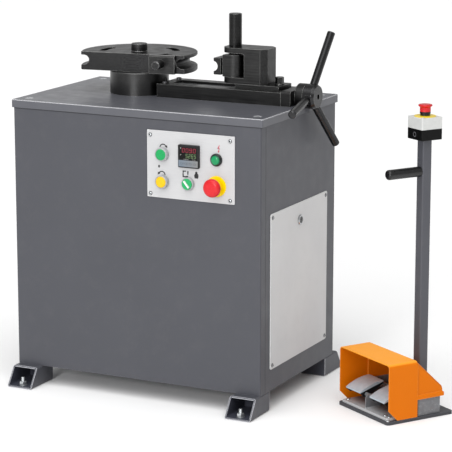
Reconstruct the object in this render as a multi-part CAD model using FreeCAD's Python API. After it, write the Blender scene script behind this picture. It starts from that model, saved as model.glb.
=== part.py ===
import FreeCAD, Part
import math
import os

os.makedirs("parts", exist_ok=True)

Vector = FreeCAD.Vector
UP = Vector(0, 0, 1)
DOWN = Vector(0, 0, -1)
RIGHT = Vector(1, 0, 0)
BACK = Vector(0, 1, 0)
FRONT = Vector(0, -1, 0)

# All lengths are in millimetres. The origin lies on the floor in the middle of
# the four anchor holes. X runs to the machine's right, -Y faces the operator
# who stands at the control panel, and Z is up.

# Clearances
SLIDE_FIT = 0.05
RUN_GAP = 0.3
SEAT_FIT = 0.02
PANEL_SEAM = 0.6

# Shared small sizes: how far cutting shapes run past a face, and broken edges
PAST = 1.0
EDGE = 1.5
FINE_EDGE = 1.0

# Table plate and cabinet
TABLE_WIDTH = 700.0
TABLE_DEPTH = 446.0
TABLE_HEIGHT = 735.0
TABLE_THICK = 20.0
TABLE_CORNER = 4.0
TABLE_EDGE = 0.8
CABINET_SIDE_INSET = 5.0
CABINET_FRONT_INSET = 2.0
CABINET_BACK_INSET = 7.0
SHEET = 2.5
FOLD_RADIUS = 4.0
FRONT_RETURN = 27.0
SIDE_FLANGE = 45.0
BACK_FOLD = 14.0
VENT_LENGTH = 110.0
VENT_WIDTH = 5.0
VENT_PITCH = 13.0
VENT_ROWS = 8
VENT_COLUMNS = 2
VENT_GAP = 40.0
VENT_BELOW_TABLE = 90.0

# Table bolts
BOLT_INSET_X = 31.0
BOLT_INSET_Y = 36.0
BOLT_SHANK = 5.0
BOLT_HOLE = 5.5
BOLT_HEAD = 8.0
BOLT_EDGE = 0.8
BOLT_HEAD_HEIGHT = 10.0
BOLT_LENGTH = 34.0
BOLT_SOCKET = 8.0
COUNTERBORE = 8.8

# Feet
FOOT_WIDTH = 70.0
FOOT_HEIGHT = 50.0
FOOT_WALL = 4.0
FOOT_CORNER = 5.0
FOOT_REACH = 55.0
FOOT_UNDER = 55.0
FOOT_SLANT = 34.0
ANCHOR_HOLE = 5.5
ANCHOR_FROM_TIP = 20.0

# Side cover and its lock
COVER_WIDTH = 334.0
COVER_HEIGHT = 390.0
COVER_ABOVE_BASE = 54.0
COVER_THICK = 2.5
COVER_CORNER = 6.0
COVER_OVERLAP = 16.0
COVER_OFFSET_Y = -11.0
LOCK_BELOW_TOP = 44.0
LOCK_RING = 13.0
LOCK_RING_PROUD = 4.0
LOCK_ROTOR = 8.5
LOCK_ROTOR_PROUD = 0.5
LOCK_SLOT_WIDTH = 3.0
LOCK_SLOT_LENGTH = 10.0
LOCK_SLOT_DEPTH = 3.0
LOCK_CAM_WIDTH = 14.0
LOCK_CAM_THICK = 3.0
LOCK_CAM_LAP = 8.0

# Control panel
PANEL_WIDTH = 238.0
PANEL_HEIGHT = 166.0
PANEL_THICK = 2.5
PANEL_CORNER = 1.5
PANEL_FROM_RIGHT = 69.0
PANEL_BELOW_TABLE = 27.0
PANEL_MARGIN = 15.0
COLUMN_INSET = 44.0
COLUMN_PITCH = 73.0
PANEL_TOP_ROW = 60.0
PANEL_ROW_PITCH = 65.0
GREEN_RAISE = 2.8
SELECTOR_SHIFT = 3.4

# Panel devices
DEVICE_BARREL = 12.5
DEVICE_STEM = 8.0
DEVICE_DEPTH = 20.0
STEM_SHORT = 8.0
CONTACT_WIDTH = 28.0
CONTACT_HEIGHT = 40.0
CONTACT_DEPTH = 26.0
CONTACT_CORNER = 3.0
BUTTON_BEZEL = 16.5
BUTTON_PROUD = 14.0
BEZEL_EDGE = 1.6
BEZEL_FLOOR = 3.0
BUTTON_CAP = 13.6
CAP_THICK = 6.8
CAP_PROUD = 0.8
LAMP_BEZEL = 15.5
LAMP_PROUD = 7.0
LAMP_LENS = 12.0
LAMP_LENS_RISE = 4.5
LAMP_EDGE = 2.5
SELECTOR_BEZEL = 16.3
SELECTOR_PROUD = 9.0
SELECTOR_KNOB_PROUD = 2.0
SELECTOR_BAR_WIDTH = 4.2
SELECTOR_BAR_LENGTH = 22.0
SELECTOR_BAR_PROUD = 4.0
SELECTOR_REST_DEG = -40.0
STOP_DISC = 25.5
STOP_DISC_THICK = 2.0
STOP_COLLAR = 14.5
STOP_COLLAR_PROUD = 11.0
STOP_HEAD = 22.5
STOP_HEAD_PROUD = 36.0
STOP_HEAD_THICK = 13.0
STOP_TRAVEL = 5.5
CONTROLLER_SIDE = 56.0
CONTROLLER_RISE = 3.0
CONTROLLER_PROUD = 9.0
CONTROLLER_BODY = 49.0
CONTROLLER_DEPTH = 78.0
CONTROLLER_RIM = 4.5
CONTROLLER_CORNER = 2.5
DISPLAY_HEIGHT = 31.0
DISPLAY_RISE = 7.0
DISPLAY_DEPTH = 1.0
KEY_COUNT = 4
KEY_GAP = 2.0
KEY_HEIGHT = 7.0
KEY_RISE = 10.5
KEY_PROUD = 1.0

# Bending head
BEND_LINE_Y = 30.0
TUBE_RADIUS = 12.7
TUBE_HEIGHT = 83.9
DIE_RADIUS = 149.0
DIE_LOWER_FLANGE = 12.7
DIE_UPPER_FLANGE = 8.4
DIE_GROOVE_DEPTH = 20.0
DIE_RIM_CHAMFER = 1.5
DIE_FLAT = 52.0
DIE_REST_DEG = 8.0
SLOT_RADIUS = 95.0
SLOT_HALF_WIDTH = 10.0
SLOT_HALF_SWEEP_DEG = 15.0
SLOT_ANGLES = (173.0, 41.0, -34.0)
SHAFT_RADIUS = 21.0
SHAFT_END_RADIUS = 20.5
SHAFT_SHOULDER = 1.5
SHAFT_ABOVE_DIE = 20.5
SHAFT_BELOW_TABLE = 95.0
SHAFT_CHAMFER = 1.5
HUB_RADIUS = 75.5
HUB_DIE_GAP = 0.5
HUB_SPIGOT = 50.0
PIN_TO_DIE = 274.0
CLAMP_LEFT = 50.0
CLAMP_WIDTH = 68.0
CLAMP_THICK = 14.0
CLAMP_PIN_RADIUS = 11.0
CLAMP_PIN_REACH = 36.0
CLAMP_PIN_FROM_LEFT = 31.0

# Gearbox and motor under the table
GEARBOX_LENGTH = 190.0
GEARBOX_WIDTH = 170.0
GEARBOX_CORNER = 14.0
GEARBOX_EDGE = 5.0
MOTOR_RADIUS = 62.0
MOTOR_LENGTH = 205.0
MOTOR_COWL_RADIUS = 66.0
MOTOR_COWL_LENGTH = 46.0
MOTOR_BELOW_TABLE = 5.0
MOTOR_FLANGE_RADIUS = 52.0
MOTOR_FLANGE_LENGTH = 10.0
MOTOR_EDGE = 8.0

# Slide, screw and handle
SLIDE_WIDTH = 112.0
SLIDE_HEIGHT = 34.0
SLIDE_HUB_GAP = 4.5
SLIDE_LEFT_WALL = 30.0
SLOT_TOP_WIDTH = 52.0
SLOT_FOOT_WIDTH = 72.0
SLOT_FOOT_TOP = 18.0
SLOT_FLOOR = 8.0
BLOCK_THICK = 26.0
BLOCK_HEIGHT = 38.0
BLOCK_CORNER = 6.0
BLOCK_FROM_EDGE = 20.0
SCREW_HEIGHT = 21.4
SCREW_RADIUS = 10.0
SCREW_JOURNAL = 8.0
SCREW_TAIL = 6.0
SCREW_TAIL_DEPTH = 22.0
HUB_FROM_EDGE = 0.6
SCREW_END_SEAT = 18.6
HANDLE_HUB_RADIUS = 31.0
HANDLE_HUB_LENGTH = 30.0
HANDLE_NOSE_RADIUS = 27.0
HANDLE_NOSE_LENGTH = 7.0
HANDLE_RECESS = 6.8
HANDLE_RECESS_DEPTH = 6.0
ARM_RADIUS = 10.0
ARM_STUD = 6.0
ARM_STUD_LENGTH = 11.0
ARM_FROM_HUB_FACE = 7.4
ARM_LENGTH = 169.0
ARM_SEAT = 26.0
ARM_TILT_DEG = 9.5
ARM_REST_DEG = 7.0
ARM_COUNT = 3
ARM_TIP_ROUND = 3.0

# Carriage, fork, pin, holder and counter die
CARRIAGE_GAP = 14.0
CARRIAGE_LENGTH = 119.0
CARRIAGE_WIDTH = 76.0
CARRIAGE_TOP = 45.0
FORK_LENGTH = 124.9
FORK_FROM_RIGHT = 36.1
FORK_HEIGHT = 89.0
FORK_NOSE_RADIUS = 30.0
FORK_TAIL_CHAMFER = 14.6
FORK_LOWER_ARM = 15.0
FORK_UPPER_ARM = 13.0
FORK_WINDOW = 66.0
PIVOT_RADIUS = 16.2
PIVOT_FROM_NOSE = 24.0
PIVOT_LENGTH = 171.0
HOLDER_RADIUS = 31.0
HOLDER_FACE = 21.0
HOLDER_TOP_GAP = 6.0
COUNTER_LENGTH = 50.0
COUNTER_THICK = 20.0
COUNTER_HEIGHT = 42.4
COUNTER_GROOVE_DEPTH = 11.0
COUNTER_STANDOFF = 7.6
TENON_WIDTH = 20.0
TENON_DEPTH = 3.0
CLAMP_BOLT_RADIUS = 6.0
CLAMP_BOLT_FLATS = 19.0
CLAMP_BOLT_HEIGHT = 17.0
CLAMP_BOLT_DEPTH = 8.0
CLAMP_BOLT_INSET = 14.5
CLAMP_WASHER_RADIUS = 12.0
CLAMP_WASHER_THICK = 2.5

# Pedal station
STATION_X = 565.0
STATION_Y = -93.0
STATION_TURN_DEG = -32.5
PLATE_WIDTH = 213.0
PLATE_DEPTH = 197.0
PLATE_FRONT = 4.0
PLATE_THICK = 8.0
PLATE_CORNER = 8.0
SLAB_INSET = 9.0
SLAB_THICK = 6.0
SLAB_FRONT = 1.0
SLAB_CORNER = 4.0
HOUSING_START = 90.0
HOUSING_HEIGHT = 49.0
HOUSING_WALL = 4.0
HOUSING_CORNER = 3.5
WEB_THICK = 2.5
WEB_FRONT = 5.0
WEB_LENGTH = 45.0
WEB_NOSE = 9.0
WEB_BOSS = 5.0
GUARD_WIDTH = 212.0
GUARD_HEIGHT = 149.0
GUARD_WALL = 2.5
GUARD_ROOF_DEPTH = 83.0
GUARD_SLEEVE = 85.0
GUARD_HOOD_INSET = 3.0
GUARD_DEPTH = 161.0
GUARD_BACK_TOP = 76.0
GUARD_BACK_BOTTOM = 51.0
GUARD_LIP = 11.0
GUARD_CHAMFER = 26.0
GUARD_ROUND = 9.0
PEDAL_WIDTH = 62.0
PEDAL_FROM_CENTRE = 20.0
PEDAL_FRONT = 3.0
PEDAL_DEPTH = 69.0
PEDAL_FRONT_HEIGHT = 50.5
PEDAL_RISE = 21.0
PEDAL_CROWN = 5.0
PEDAL_PLATE = 3.5
PEDAL_WALL = 3.0
PEDAL_SKIRT = 13.0
PEDAL_PIN_RADIUS = 3.0
PEDAL_PIN_INSET = 18.0
PEDAL_PIN_DROP = 6.5
PEDAL_EYE = 7.0
POST_X = -12.5
POST_BEHIND_GUARD = 0.5
POST_SIDE = 26.5
POST_WALL = 2.0
POST_CORNER = 3.5
POST_TOP = 668.0
BOX_SIDE = 61.0
BOX_BASE_HEIGHT = 27.0
BOX_COVER_HEIGHT = 28.5
BOX_CORNER = 3.0
BOX_WALL = 3.5
KNOCKOUT_RADIUS = 6.0
KNOCKOUT_DEPTH = 0.8
GRIP_RADIUS = 12.5
GRIP_LENGTH = 97.0
GRIP_HEIGHT = 588.0
BOX_DISC = 26.5
BOX_DISC_THICK = 1.6
BOX_STOP_COLLAR = 12.2
BOX_STOP_BARREL = 11.2
BOX_STOP_DEPTH = 12.0
BOX_COLLAR_PROUD = 11.0
BOX_STOP_SKIRT = 13.4
BOX_SKIRT_LIFT = 7.0
BOX_STOP_HEAD = 17.5
BOX_STOP_HEIGHT = 30.0

# Places worked out from the sizes above
TABLE_RIGHT = TABLE_WIDTH / 2
TABLE_UNDER = TABLE_HEIGHT - TABLE_THICK
CABINET_HALF = TABLE_WIDTH / 2 - CABINET_SIDE_INSET
CABINET_FRONT = -TABLE_DEPTH / 2 + CABINET_FRONT_INSET
CABINET_BACK = TABLE_DEPTH / 2 - CABINET_BACK_INSET
SIDE_START = CABINET_FRONT + FRONT_RETURN + PANEL_SEAM
SIDE_END = CABINET_BACK - SHEET - PANEL_SEAM / 2
BLOCK_RIGHT = TABLE_RIGHT - BLOCK_FROM_EDGE
BLOCK_LEFT = BLOCK_RIGHT - BLOCK_THICK
CARRIAGE_RIGHT = BLOCK_LEFT - CARRIAGE_GAP
CARRIAGE_LEFT = CARRIAGE_RIGHT - CARRIAGE_LENGTH
FORK_RIGHT = CARRIAGE_RIGHT - FORK_FROM_RIGHT
FORK_LEFT = FORK_RIGHT - FORK_LENGTH
PIVOT_X = FORK_LEFT + PIVOT_FROM_NOSE
CLAMP_BOLT_X = CARRIAGE_RIGHT - CLAMP_BOLT_INSET
CLAMP_PIN_X = CLAMP_LEFT + CLAMP_PIN_FROM_LEFT
DIE_X = PIVOT_X - PIN_TO_DIE
SLIDE_LEFT = DIE_X + HUB_RADIUS + SLIDE_HUB_GAP
CHANNEL_LEFT = SLIDE_LEFT + SLIDE_LEFT_WALL
GEARBOX_HEIGHT = 2 * (MOTOR_COWL_RADIUS + MOTOR_BELOW_TABLE)
TUBE_Z = TABLE_HEIGHT + TUBE_HEIGHT
DIE_BOTTOM = TUBE_Z - TUBE_RADIUS - DIE_LOWER_FLANGE
DIE_TOP = TUBE_Z + TUBE_RADIUS + DIE_UPPER_FLANGE
CARRIAGE_TOP_Z = TABLE_HEIGHT + CARRIAGE_TOP
WINDOW_BOTTOM = CARRIAGE_TOP_Z + FORK_LOWER_ARM
WINDOW_TOP = CARRIAGE_TOP_Z + FORK_HEIGHT - FORK_UPPER_ARM
SCREW_Z = TABLE_HEIGHT + SCREW_HEIGHT
HANDLE_LEFT = TABLE_RIGHT + HUB_FROM_EDGE
HANDLE_RIGHT = HANDLE_LEFT + HANDLE_HUB_LENGTH
ARM_X = HANDLE_LEFT + ARM_FROM_HUB_FACE
PANEL_FACE = CABINET_FRONT - PANEL_THICK
PANEL_RIGHT = CABINET_HALF - PANEL_FROM_RIGHT
PANEL_TOP = TABLE_UNDER - PANEL_BELOW_TABLE
PANEL_X = PANEL_RIGHT - PANEL_WIDTH / 2
PANEL_Z = PANEL_TOP - PANEL_HEIGHT / 2
ROW_HIGH = PANEL_TOP - PANEL_TOP_ROW
ROW_LOW = ROW_HIGH - PANEL_ROW_PITCH
GREEN_Z = ROW_HIGH + GREEN_RAISE
COLUMN_LEFT = PANEL_X - PANEL_WIDTH / 2 + COLUMN_INSET
COLUMN_MIDDLE = COLUMN_LEFT + COLUMN_PITCH
SELECTOR_X = COLUMN_MIDDLE - SELECTOR_SHIFT
COLUMN_RIGHT = COLUMN_MIDDLE + COLUMN_PITCH
CONTROLLER_Z = ROW_HIGH + CONTROLLER_RISE
COVER_FACE = CABINET_HALF + COVER_THICK
COVER_BOTTOM = FOOT_HEIGHT + COVER_ABOVE_BASE
COVER_TOP = COVER_BOTTOM + COVER_HEIGHT
COVER_Y = (SIDE_START + SIDE_END) / 2 + COVER_OFFSET_Y
LOCK_Z = COVER_TOP - LOCK_BELOW_TOP
GUARD_HALF = GUARD_WIDTH / 2
HOOD_HALF = GUARD_HALF - GUARD_HOOD_INSET
SLAB_WIDTH = GUARD_WIDTH - 2 * SLAB_INSET
POST_Y = GUARD_DEPTH + GUARD_HOOD_INSET + POST_BEHIND_GUARD + POST_SIDE / 2
SLAB_TOP = PLATE_THICK + SLAB_THICK
HOUSING_END = GUARD_DEPTH - GUARD_WALL - RUN_GAP
BOX_BOTTOM = POST_TOP
BOX_SPLIT = BOX_BOTTOM + BOX_BASE_HEIGHT
BOX_TOP = BOX_SPLIT + BOX_COVER_HEIGHT
PEDAL_PIN_Y = PEDAL_FRONT + PEDAL_PIN_INSET
PEDAL_PIN_Z = PEDAL_FRONT_HEIGHT - PEDAL_PIN_DROP
PEDAL_OUTER = PEDAL_FROM_CENTRE + PEDAL_WIDTH


def box(x0, x1, y0, y1, z0, z1):
    """A block between two corners."""
    return Part.makeBox(x1 - x0, y1 - y0, z1 - z0, Vector(x0, y0, z0))


def rod(radius, start, direction, length):
    """A round bar from a point along a direction."""
    return Part.makeCylinder(radius, length, start, direction)


def prism(points, along):
    """A polygon pushed along a vector."""
    wire = Part.makePolygon(points + [points[0]])
    return Part.Face(wire).extrude(along)


def rounded_face(width, height, radius):
    """A rectangle with round corners about the origin in the XY plane."""
    x = width / 2 - radius
    y = height / 2 - radius
    corners = [(x, -y, -90), (x, y, 0), (-x, y, 90), (-x, -y, 180)]
    arcs = [Part.makeCircle(radius, Vector(cx, cy, 0), UP, start, start + 90) for cx, cy, start in corners]
    edges = []
    for arc, following in zip(arcs, arcs[1:] + arcs[:1]):
        edges.append(arc)
        end = arc.valueAt(arc.LastParameter)
        begin = following.valueAt(following.FirstParameter)
        edges.append(Part.makeLine(end, begin))
    return Part.Face(Part.Wire(edges))


def rounded_bar(width, height, radius, length):
    """A bar of rounded rectangular section standing on the origin along +Z."""
    return rounded_face(width, height, radius).extrude(Vector(0, 0, length))


def turned(profile):
    """A solid of revolution about Z from (radius, height) points."""
    points = [Vector(r, 0, h) for r, h in profile]
    wire = Part.makePolygon(points + [points[0]])
    return Part.Face(wire).revolve(Vector(0, 0, 0), UP, 360)


def aimed(shape, direction, place):
    """Turn a shape built along +Z to a direction and move it to a place."""
    result = shape.copy()
    turn = FreeCAD.Rotation(UP, direction)
    result.Placement = FreeCAD.Placement(place, turn).multiply(shape.Placement)
    return result


def rounded_edges(shape, radius, wanted):
    """Fillet the edges for which the test holds."""
    edges = [edge for edge in shape.Edges if wanted(edge)]
    return shape.makeFillet(radius, edges)


def bevelled_edges(shape, size, wanted):
    """Chamfer the edges for which the test holds."""
    edges = [edge for edge in shape.Edges if wanted(edge)]
    return shape.makeChamfer(size, edges)


def middle(edge):
    """The point half way along an edge."""
    return edge.valueAt((edge.FirstParameter + edge.LastParameter) / 2)


def runs_along(edge, axis):
    """True for a straight edge parallel to an axis."""
    if edge.Curve.TypeId != "Part::GeomLine":
        return False
    return abs(abs(edge.Curve.Direction.dot(axis)) - 1) < 1e-6


def near(value, target):
    """True when two lengths agree closely."""
    return abs(value - target) < 0.01


def save(node, shape):
    """Write one sub-part and check that it is a sound solid."""
    if not shape.isValid() or len(shape.Solids) != 1:
        raise ValueError(node + " is not one sound solid")
    shape.Solids[0].exportStep("parts/" + node + ".step")


# Cabinet


def front_panel():
    """Folded front sheet whose returns wrap round both front corners."""
    top = TABLE_UNDER
    low = FOOT_HEIGHT
    rear = CABINET_FRONT + FRONT_RETURN
    pan = box(-CABINET_HALF, CABINET_HALF, CABINET_FRONT, rear, low, top)
    pan = rounded_edges(pan, FOLD_RADIUS, lambda e: runs_along(e, UP) and near(middle(e).y, CABINET_FRONT))
    inner = CABINET_HALF - SHEET
    hollow = box(-inner, inner, CABINET_FRONT + SHEET, rear + PAST, low + SHEET, top - SHEET)
    window_w = PANEL_WIDTH - 2 * PANEL_MARGIN
    window_h = PANEL_HEIGHT - 2 * PANEL_MARGIN
    window = aimed(
        rounded_bar(window_w, window_h, PANEL_CORNER, 4 * SHEET),
        BACK,
        Vector(PANEL_X, CABINET_FRONT - SHEET, PANEL_Z),
    )
    return pan.cut(hollow).cut(window)


def side_pan(side):
    """Side sheet with an inward flange all round; side is -1 or 1."""
    outer = side * CABINET_HALF
    inner = side * (CABINET_HALF - SIDE_FLANGE)
    low_x = min(outer, inner)
    high_x = max(outer, inner)
    pan = box(low_x, high_x, SIDE_START, SIDE_END, FOOT_HEIGHT, TABLE_UNDER)
    start = low_x - PAST if side > 0 else low_x + SHEET
    end = high_x - SHEET if side > 0 else high_x + PAST
    hollow = box(start, end, SIDE_START + SHEET, SIDE_END - SHEET, FOOT_HEIGHT + SHEET, TABLE_UNDER - SHEET)
    pan = pan.cut(hollow)
    for place in bolt_places():
        pan = pan.cut(rod(BOLT_HOLE, place + Vector(0, 0, -2 * BOLT_LENGTH), UP, 2 * BOLT_LENGTH))
    return pan


def right_side():
    """Right side sheet with the service opening behind the cover."""
    width = COVER_WIDTH - 2 * COVER_OVERLAP
    height = COVER_HEIGHT - 2 * COVER_OVERLAP
    centre = Vector(CABINET_HALF - 2 * SHEET, COVER_Y, (COVER_BOTTOM + COVER_TOP) / 2)
    opening = rounded_bar(height, width, COVER_CORNER, 4 * SHEET)
    return side_pan(1).cut(aimed(opening, RIGHT, centre))


def back_panel():
    """Flat back sheet with rows of ventilation slots near the top."""
    sheet = box(-CABINET_HALF, CABINET_HALF, CABINET_BACK - SHEET, CABINET_BACK, FOOT_HEIGHT, TABLE_UNDER)
    sheet = rounded_edges(sheet, SHEET / 3, lambda e: runs_along(e, UP) and near(middle(e).y, CABINET_BACK))
    slot = rounded_bar(VENT_LENGTH, VENT_WIDTH, VENT_WIDTH * 0.49, 3 * SHEET)
    slots = []
    for row in range(VENT_ROWS):
        for column in range(VENT_COLUMNS):
            x = (column - (VENT_COLUMNS - 1) / 2) * (VENT_LENGTH + VENT_GAP)
            z = TABLE_UNDER - VENT_BELOW_TABLE - row * VENT_PITCH
            slots.append(aimed(slot, BACK, Vector(x, CABINET_BACK - 2 * SHEET, z)))
    return sheet.cut(slots)


def base_pan():
    """Floor sheet that lies on the lower flanges."""
    x = CABINET_HALF - SHEET - PANEL_SEAM
    y0 = SIDE_START + SHEET + PANEL_SEAM
    y1 = SIDE_END - SHEET - PANEL_SEAM
    z0 = FOOT_HEIGHT + SHEET
    pan = box(-x, x, y0, y1, z0, z0 + SHEET)
    fold = BACK_FOLD
    rail = box(-x + SIDE_FLANGE, x - SIDE_FLANGE, y1 - SHEET, y1, z0, z0 + fold)
    return pan.fuse(rail).removeSplitter()


def bolt_places():
    """Centres of the table bolts on the table's upper face."""
    x = TABLE_WIDTH / 2 - BOLT_INSET_X
    y = TABLE_DEPTH / 2 - BOLT_INSET_Y
    return [Vector(sx * x, sy * y, TABLE_HEIGHT) for sy in (-1, 1) for sx in (-1, 1)]


def table_plate():
    """Thick steel table with counterbored bolt holes and the hub's bore."""
    plate = rounded_bar(TABLE_WIDTH, TABLE_DEPTH, TABLE_CORNER, TABLE_THICK)
    plate.translate(Vector(0, 0, TABLE_UNDER))
    plate = bevelled_edges(plate, TABLE_EDGE, lambda e: near(middle(e).z, TABLE_HEIGHT))
    below = Vector(DIE_X, BEND_LINE_Y, TABLE_UNDER - PAST)
    plate = plate.cut(rod(HUB_SPIGOT + SLIDE_FIT, below, UP, TABLE_THICK + 2 * PAST))
    for place in bolt_places():
        plate = plate.cut(rod(BOLT_HOLE, place, DOWN, TABLE_THICK + PAST))
        plate = plate.cut(rod(COUNTERBORE, place, DOWN, BOLT_HEAD_HEIGHT + RUN_GAP))
    return plate


def socket_bolt(place):
    """Socket head bolt sunk flush into the table."""
    top = place + Vector(0, 0, -RUN_GAP)
    neck = top + Vector(0, 0, -BOLT_HEAD_HEIGHT)
    head = rod(BOLT_HEAD, top, DOWN, BOLT_HEAD_HEIGHT)
    head = bevelled_edges(head, BOLT_EDGE, lambda e: near(middle(e).z, top.z))
    shank = rod(BOLT_SHANK, neck, DOWN, BOLT_LENGTH - BOLT_HEAD_HEIGHT)
    socket = hexagon(BOLT_SOCKET, BOLT_HEAD_HEIGHT / 2)
    socket.translate(top + Vector(0, 0, -BOLT_HEAD_HEIGHT / 2))
    return head.fuse(shank).cut(socket)


def hexagon(flats, height):
    """A hexagonal bar of the given width over flats along +Z."""
    corner = flats / math.sqrt(3)
    points = []
    for index in range(6):
        angle = math.radians(30 + 60 * index)
        points.append(Vector(corner * math.cos(angle), corner * math.sin(angle), 0))
    return prism(points, Vector(0, 0, height))


def foot(side, end):
    """Rectangular tube foot, cut on a slant and open outside, closed by a plate under the cabinet."""
    length = FOOT_REACH + FOOT_UNDER
    tip_y = -TABLE_DEPTH / 2 - FOOT_REACH if end < 0 else TABLE_DEPTH / 2 + FOOT_REACH
    inward = BACK if end < 0 else FRONT
    centre = Vector(side * (CABINET_HALF - FOOT_WIDTH / 2), tip_y, FOOT_HEIGHT / 2)
    outer = rounded_bar(FOOT_HEIGHT, FOOT_WIDTH, FOOT_CORNER, length)
    inner = rounded_bar(
        FOOT_HEIGHT - 2 * FOOT_WALL,
        FOOT_WIDTH - 2 * FOOT_WALL,
        FOOT_CORNER - FOOT_WALL / 2,
        length - FOOT_WALL + PAST,
    )
    inner.translate(Vector(0, 0, -PAST))
    tube = stood_tube(outer.cut(inner), inward, centre)
    x0 = centre.x - FOOT_WIDTH
    lean = -end * FOOT_SLANT
    wedge = prism(
        [
            Vector(x0, tip_y, 0),
            Vector(x0, tip_y + lean, FOOT_HEIGHT + PAST),
            Vector(x0, tip_y + end * PAST, FOOT_HEIGHT + PAST),
            Vector(x0, tip_y + end * PAST, 0),
        ],
        Vector(2 * FOOT_WIDTH, 0, 0),
    )
    hole = rod(ANCHOR_HOLE, Vector(centre.x, tip_y - end * ANCHOR_FROM_TIP, -PAST), UP, FOOT_WALL + 2 * PAST)
    return tube.cut(wedge).cut(hole)


def stood_tube(shape, inward, centre):
    """Lay a bar built along +Z down along Y with its first width upright."""
    result = shape.copy()
    if inward.y > 0:
        lay = FreeCAD.Rotation(Vector(0, 0, 1), Vector(1, 0, 0), Vector(0, 1, 0), "ZXY")
    else:
        lay = FreeCAD.Rotation(Vector(0, 0, 1), Vector(-1, 0, 0), Vector(0, -1, 0), "ZXY")
    result.Placement = FreeCAD.Placement(centre, lay)
    return result


def side_cover():
    """Flat service cover laid over the opening in the right side."""
    plate = rounded_bar(COVER_HEIGHT, COVER_WIDTH, COVER_CORNER, COVER_THICK)
    centre = Vector(CABINET_HALF, COVER_Y, (COVER_BOTTOM + COVER_TOP) / 2)
    plate = aimed(plate, RIGHT, centre)
    plate = bevelled_edges(plate, COVER_THICK / 4, lambda e: near(middle(e).x, COVER_FACE))
    inside = Vector(CABINET_HALF - PAST, COVER_Y, LOCK_Z)
    hole = rod(LOCK_ROTOR + SLIDE_FIT, inside, RIGHT, COVER_THICK + 2 * PAST)
    return plate.cut(hole)


def lock_ring():
    """Fixed ring of the cam lock on the cover's face."""
    bore = LOCK_ROTOR + SLIDE_FIT
    ring = turned([
        (bore, 0),
        (LOCK_RING, 0),
        (LOCK_RING, LOCK_RING_PROUD - EDGE),
        (LOCK_RING - EDGE, LOCK_RING_PROUD),
        (bore, LOCK_RING_PROUD),
    ])
    return aimed(ring, RIGHT, Vector(COVER_FACE, COVER_Y, LOCK_Z))


def lock_rotor():
    """Turning lock with a key slot in front and a cam behind the sheet."""
    cam_x = CABINET_HALF - SHEET - RUN_GAP - LOCK_CAM_THICK
    length = COVER_FACE + LOCK_RING_PROUD + LOCK_ROTOR_PROUD - cam_x
    centre = Vector(cam_x, COVER_Y, LOCK_Z)
    rotor = rod(LOCK_ROTOR, centre, RIGHT, length)
    reach = LOCK_BELOW_TOP - COVER_OVERLAP + LOCK_CAM_LAP
    cam = rounded_bar(reach + LOCK_CAM_WIDTH, LOCK_CAM_WIDTH, LOCK_CAM_WIDTH / 2 - 0.1, LOCK_CAM_THICK)
    cam = aimed(cam, RIGHT, centre + Vector(0, 0, reach / 2))
    face = cam_x + length
    wide = LOCK_SLOT_WIDTH / 2
    tall = LOCK_SLOT_LENGTH / 2
    slot = box(face - LOCK_SLOT_DEPTH, face + PAST, COVER_Y - wide, COVER_Y + wide, LOCK_Z - tall, LOCK_Z + tall)
    return rotor.fuse(cam).cut(slot)


# Control panel


def on_panel(shape, x, z):
    """Place a device built along +Z so that it stands out of the panel face."""
    result = shape.copy()
    turn = FreeCAD.Rotation(RIGHT, 90)
    result.Placement = FreeCAD.Placement(Vector(x, PANEL_FACE, z), turn).multiply(shape.Placement)
    return result


def panel_plate():
    """Light plate with a hole for each device."""
    plate = rounded_bar(PANEL_WIDTH, PANEL_HEIGHT, PANEL_CORNER, PANEL_THICK)
    plate.translate(Vector(0, 0, -PANEL_THICK))
    plate = on_panel(plate, PANEL_X, PANEL_Z)
    hole = rod(DEVICE_BARREL + SEAT_FIT, Vector(0, 0, -2 * PANEL_THICK), UP, 3 * PANEL_THICK)
    for x, z in device_places():
        plate = plate.cut(on_panel(hole, x, z))
    square = CONTROLLER_BODY / 2 + SEAT_FIT
    opening = box(-square, square, -square, square, -2 * PANEL_THICK, PANEL_THICK)
    return plate.cut(on_panel(opening, COLUMN_MIDDLE, CONTROLLER_Z))


def device_places():
    """Centres of the five round devices on the panel."""
    return [
        (COLUMN_LEFT, GREEN_Z),
        (COLUMN_LEFT, ROW_LOW),
        (COLUMN_RIGHT, ROW_HIGH),
        (SELECTOR_X, ROW_LOW),
        (COLUMN_RIGHT, ROW_LOW),
    ]


def device_body(profile_front):
    """A device's fixed body: its front profile, the barrel and the contact block."""
    bore = DEVICE_STEM + RUN_GAP
    back = -DEVICE_DEPTH
    barrel = turned([(bore, back), (DEVICE_BARREL, back), (DEVICE_BARREL, 0)] + profile_front)
    wide = CONTACT_WIDTH / 2
    tall = CONTACT_HEIGHT / 2
    block = box(-wide, wide, -tall, tall, back - CONTACT_DEPTH, back)
    block = rounded_edges(block, CONTACT_CORNER, lambda e: runs_along(e, UP))
    return barrel.fuse(block)


def cup_front(outer, proud, bore_radius, floor):
    """Front profile of a bezel with a round recess for a cap or knob."""
    stem = DEVICE_STEM + RUN_GAP
    return [
        (outer, 0),
        (outer, proud - BEZEL_EDGE),
        (outer - BEZEL_EDGE, proud),
        (bore_radius, proud),
        (bore_radius, floor),
        (stem, floor),
    ]


def button_bezel():
    """Round bezel of a lit push button."""
    return device_body(cup_front(BUTTON_BEZEL, BUTTON_PROUD, BUTTON_CAP + RUN_GAP, BEZEL_FLOOR))


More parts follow.
